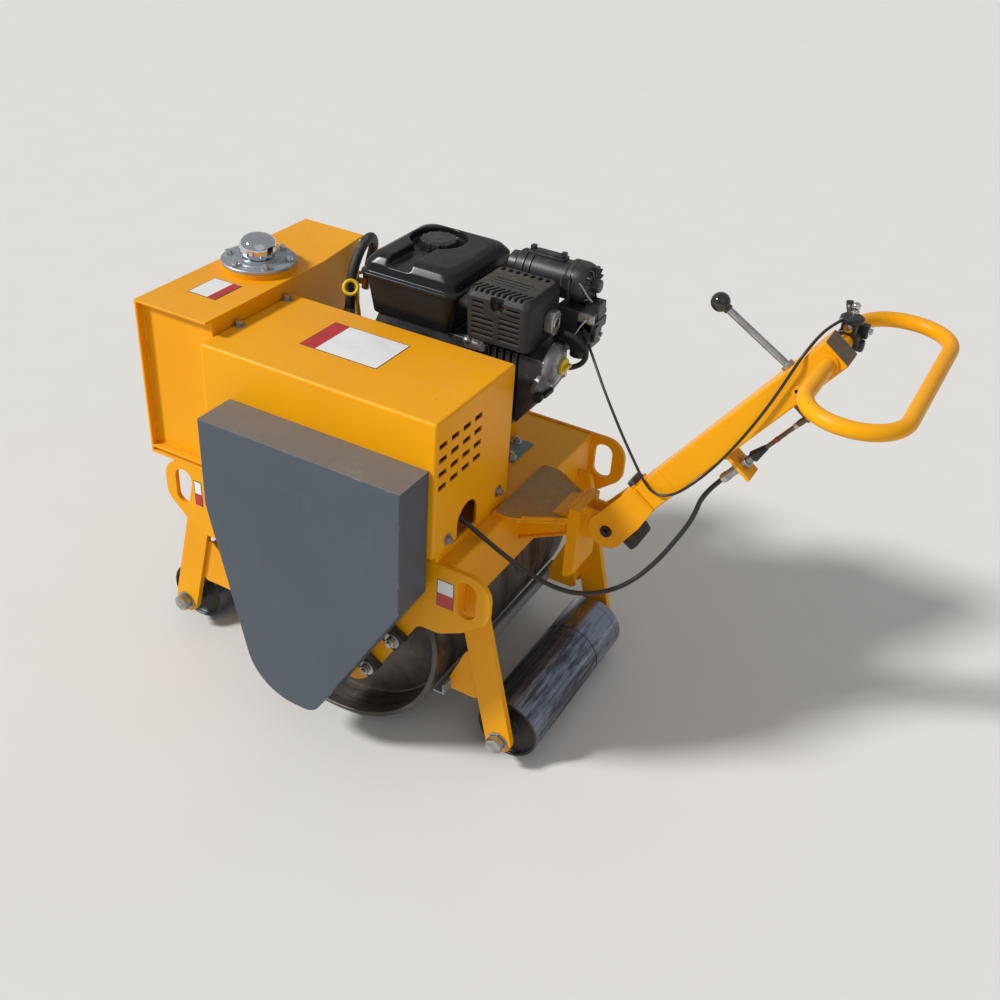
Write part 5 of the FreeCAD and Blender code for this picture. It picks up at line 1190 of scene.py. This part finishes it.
class ROLLER_OT_hose_clips(bpy.types.Operator):
    """Clamps on the hose and the yellow ring clip"""
    bl_idname = "roller.hose_clips"
    bl_label = "Hose clips"

    def execute(self, context):
        form = Form()
        for start, end in (((150.0, -51.6, 704.0), (150.0, -53.6, 718.0)),
                           ((209.6, -200.1, 722.0), (208.2, -200.4, 734.0))):
            form.rod("zinc_steel", start, end, 11.6, 0.6, 40)
        form.block("zinc_steel", (142, -43, 706), (158, -36, 716), 1.5)
        form.hexagon("zinc_steel", (142, -39.5, 711), (-1, 0, 0), 7.0, 5.0)
        form.hexagon("zinc_steel", (217, -190, 728), (0, 1, 0), 7.0, 6.0)
        form.finish("hose_clamps", "frame", SLOTS["hose_fittings"])
        form = Form()
        form.ring("yellow_plastic", (140.0, -44.0, 766.0), (-0.38, 0.74, 0.56), 13.5, 3.8)
        form.tube("yellow_plastic", [(139, -57, 768), (138, -60, 748), (137, -63, 724), (136, -66, 700)], 3.6)
        form.finish("ring_clip", "frame", SLOTS["oil_cap"])
        return {"FINISHED"}


class ROLLER_OT_grips(bpy.types.Operator):
    """Grip loop, lever, throttle control and the push rod"""
    bl_idname = "roller.grips"
    bl_label = "Handle fittings"

    def execute(self, context):
        dressed("grip_loop", "yellow_paint", 0.0)
        form = Form()
        knob = Vector((-604.0, 0.0, 957.0))
        foot = on_handle(477, 30)
        ahead = (knob - foot).normalized()
        form.rod("zinc_steel", foot - ahead * 2, knob - ahead * 10, 6.0, 0.4, 40)
        form.rod("zinc_steel", foot, foot + ahead * 7, 11.0, 1.0, 40)
        turn = handle_turn(445, -38)
        form.block("brown_steel", (-8, -4, -22), (8, 4, 15.6), 2.0, turn)
        form.finish("control_lever_turned", "handle", SLOTS["control_lever"], ("control_lever",))
        form = Form()
        form.ball("black_gloss", knob, 16.0)
        form.rod("black_gloss", knob - ahead * 19, knob - ahead * 8, 8.0, 0.8, 40)
        form.finish("lever_knob_moulded", "handle", SLOTS["lever_knob"], ("lever_knob",))

        form = Form()

        def along(finish, start, end, radius, width=0.6, far=None):
            form.rod(finish, on_handle(start, -52), on_handle(end, -52), radius, width, 40, far)

        axis = on_handle(1, 0) - on_handle(0, 0)
        along("zinc_steel", 245.3, 282, 8.0)
        along("zinc_steel", 248, 258, 8.8)
        along("zinc_steel", 280, 322, 6.6, 0.2)
        for turn in range(14):
            along("zinc_steel", 299 + turn * 1.6, 299.9 + turn * 1.6, 7.2, 0.2)
        form.hexagon("zinc_steel", on_handle(280, -52), axis, 21.0, 10.9, 1.4)
        form.hexagon("zinc_steel", on_handle(297.1, -52), axis, 21.0, 10.0, 1.4)
        for step in range(6):
            start = 320 + step * 5
            along("rubber", start, start + 5.5, 10.4 - step * 0.9, 0.8, 8.8 - step * 0.8)
        along("brown_steel", 350, 437, 4.0)
        along("red_plastic", 372, 378, 4.6)
        along("brown_steel", 424, 438, 5.4)
        form.hexagon("zinc_steel", on_handle(414, -52), axis, 10.0, 8.0)
        form.ball("brown_steel", on_handle(445, -52), 8.4)
        form.finish("cable_fitting_turned", "handle", SLOTS["cable_fitting"], ("cable_fitting",))

        form = Form()
        centre = Vector((-795.0, -80.0, 917.0))
        form.lathe("black_plastic", centre + Vector((0, -16, 0)), (0, 1, 0), [
            (0.0, 12.8), (0.0, 19.0), (1.0, 20.0), (31.0, 20.0), (32.0, 19.0), (32.0, 12.8)], 48)
        form.block("black_plastic", centre + Vector((-13, -15, 14)), centre + Vector((13, 15, 32)), 3.0)
        form.lathe("black_plastic", centre + Vector((0, 0, 30)), (0, 0, 1), [
            (0.0, 0.0), (0.0, 17.0), (2.0, 19.0), (7.0, 19.0), (9.0, 16.0), (10.0, 0.0)], 40)
        form.tube("black_plastic", [centre + Vector((4, -4, 36)), centre + Vector((9, -14, 42)),
                                    centre + Vector((13, -20, 48)), centre + Vector((14, -21, 54))], 6.0)
        form.ball("chrome", centre + Vector((0, -7, 53)), 7.0)
        form.rod("chrome", centre + Vector((0, -7, 36)), centre + Vector((0, -7, 50)), 4.6)
        form.hexagon("chrome", centre + Vector((0, -7, 39.5)), (0, 0, 1), 13.0, 6.0)
        form.block("black_plastic", centre + Vector((-27, -27, 0)), centre + Vector((-8, -11, 23)), 3.0)
        form.block("black_plastic", centre + Vector((-27, -12, -18)), centre + Vector((-10, 2, 2)), 4.0)
        form.bolt("chrome", centre + Vector((-26.8, -19, 13)), (-1, 0, 0), 9.0)
        form.block("black_plastic", centre + Vector((-11, -10, -30)), centre + Vector((11, 10, -16)), 3.0)
        form.bolt("chrome", centre + Vector((-11, 0, -24)), (-1, 0, 0), 8.0)
        form.bolt("chrome", centre + Vector((0, 16, 24)), (0, 1, 0), 8.0)
        first = Vector((-782.0, -70.0, 950.0))
        ahead = (Vector((-773.0, -34.0, 950.0)) - first).normalized()
        form.rod("black_plastic", first - ahead * 20, first - ahead * 0.4, 6.5, 1.0)
        form.rod("zinc_steel", first - ahead * 8, first + ahead * 4, 4.4, 0.6)
        form.finish("throttle_control", "handle", SLOTS["throttle_clamp"], ("throttle_clamp",))

        form = Form()
        form.lathe("yellow_paint", (-758.0, 26.0, 858.0), (0, 1, 0), [
            (0.0, 0.0), (0.0, 10.0), (2.2, 10.0), (3.0, 9.2), (3.0, 4.0), (0.6, 3.8), (0.6, 0.0)], 36)
        # Dark disc at the bottom of the boss's hole: painted shade.
        form.rod("shade_and_seam_dark", (-758.0, 26.0, 858.0), (-758.0, 27.2, 858.0), 3.7, 0.0, 24)
        end = handle_turn(563, 4)
        form.block("primer", (-0.5, -26, -25), (0.6, 26, 25), 0.4, end)
        form.block("rubber", (-4, -20, -7), (8, 20, 8), 3.0, handle_turn(104, 37))
        form.finish("handle_trim", "handle", SLOTS["handle_beam"])
        form = Form()
        # A thin sheet over the gusset's top, coloured as painted shade with dust and wear.
        form.slab("shade_and_dust_top", [(24, 99), (-12, 99), (-98, 46), (-98, -46), (-12, -99), (24, -99)],
                  (-303, 0, 484.0), (0, 0, 1), 0.5, 0.0, 10.0)
        form.finish("gusset_top", "frame", SLOTS["handle_bracket"])
        return {"FINISHED"}


OPERATORS = (
    ROLLER_OT_stage, ROLLER_OT_cords, ROLLER_OT_sheets, ROLLER_OT_rollers, ROLLER_OT_fuel_tank,
    ROLLER_OT_muffler, ROLLER_OT_intake, ROLLER_OT_engine, ROLLER_OT_breather, ROLLER_OT_fasteners,
    ROLLER_OT_welds, ROLLER_OT_signs, ROLLER_OT_hose_clips, ROLLER_OT_grips,
)


class ROLLER_PT_panel(bpy.types.Panel):
    """Pieces of the roller and their sizes and colours"""
    bl_idname = "ROLLER_PT_panel"
    bl_label = "Roller"
    bl_space_type = "VIEW_3D"
    bl_region_type = "UI"
    bl_category = "Roller"

    def draw(self, context):
        layout = self.layout
        for group in (context.scene.roller_sizes, context.scene.roller_colours):
            box = layout.box()
            for name in group.__annotations__:
                box.prop(group, name)
        for operator in OPERATORS:
            layout.operator(operator.bl_idname)


CLASSES = (RollerSizes, RollerColours, *OPERATORS, ROLLER_PT_panel)


def register():
    for item in CLASSES:
        bpy.utils.register_class(item)
    bpy.types.Scene.roller_sizes = bpy.props.PointerProperty(type=RollerSizes)
    bpy.types.Scene.roller_colours = bpy.props.PointerProperty(type=RollerColours)


def unregister():
    del bpy.types.Scene.roller_sizes
    del bpy.types.Scene.roller_colours
    for item in reversed(CLASSES):
        bpy.utils.unregister_class(item)


def main():
    register()
    for operator in OPERATORS:
        group, name = operator.bl_idname.split(".")
        getattr(getattr(bpy.ops, group), name)()


if __name__ == "__main__":
    main()
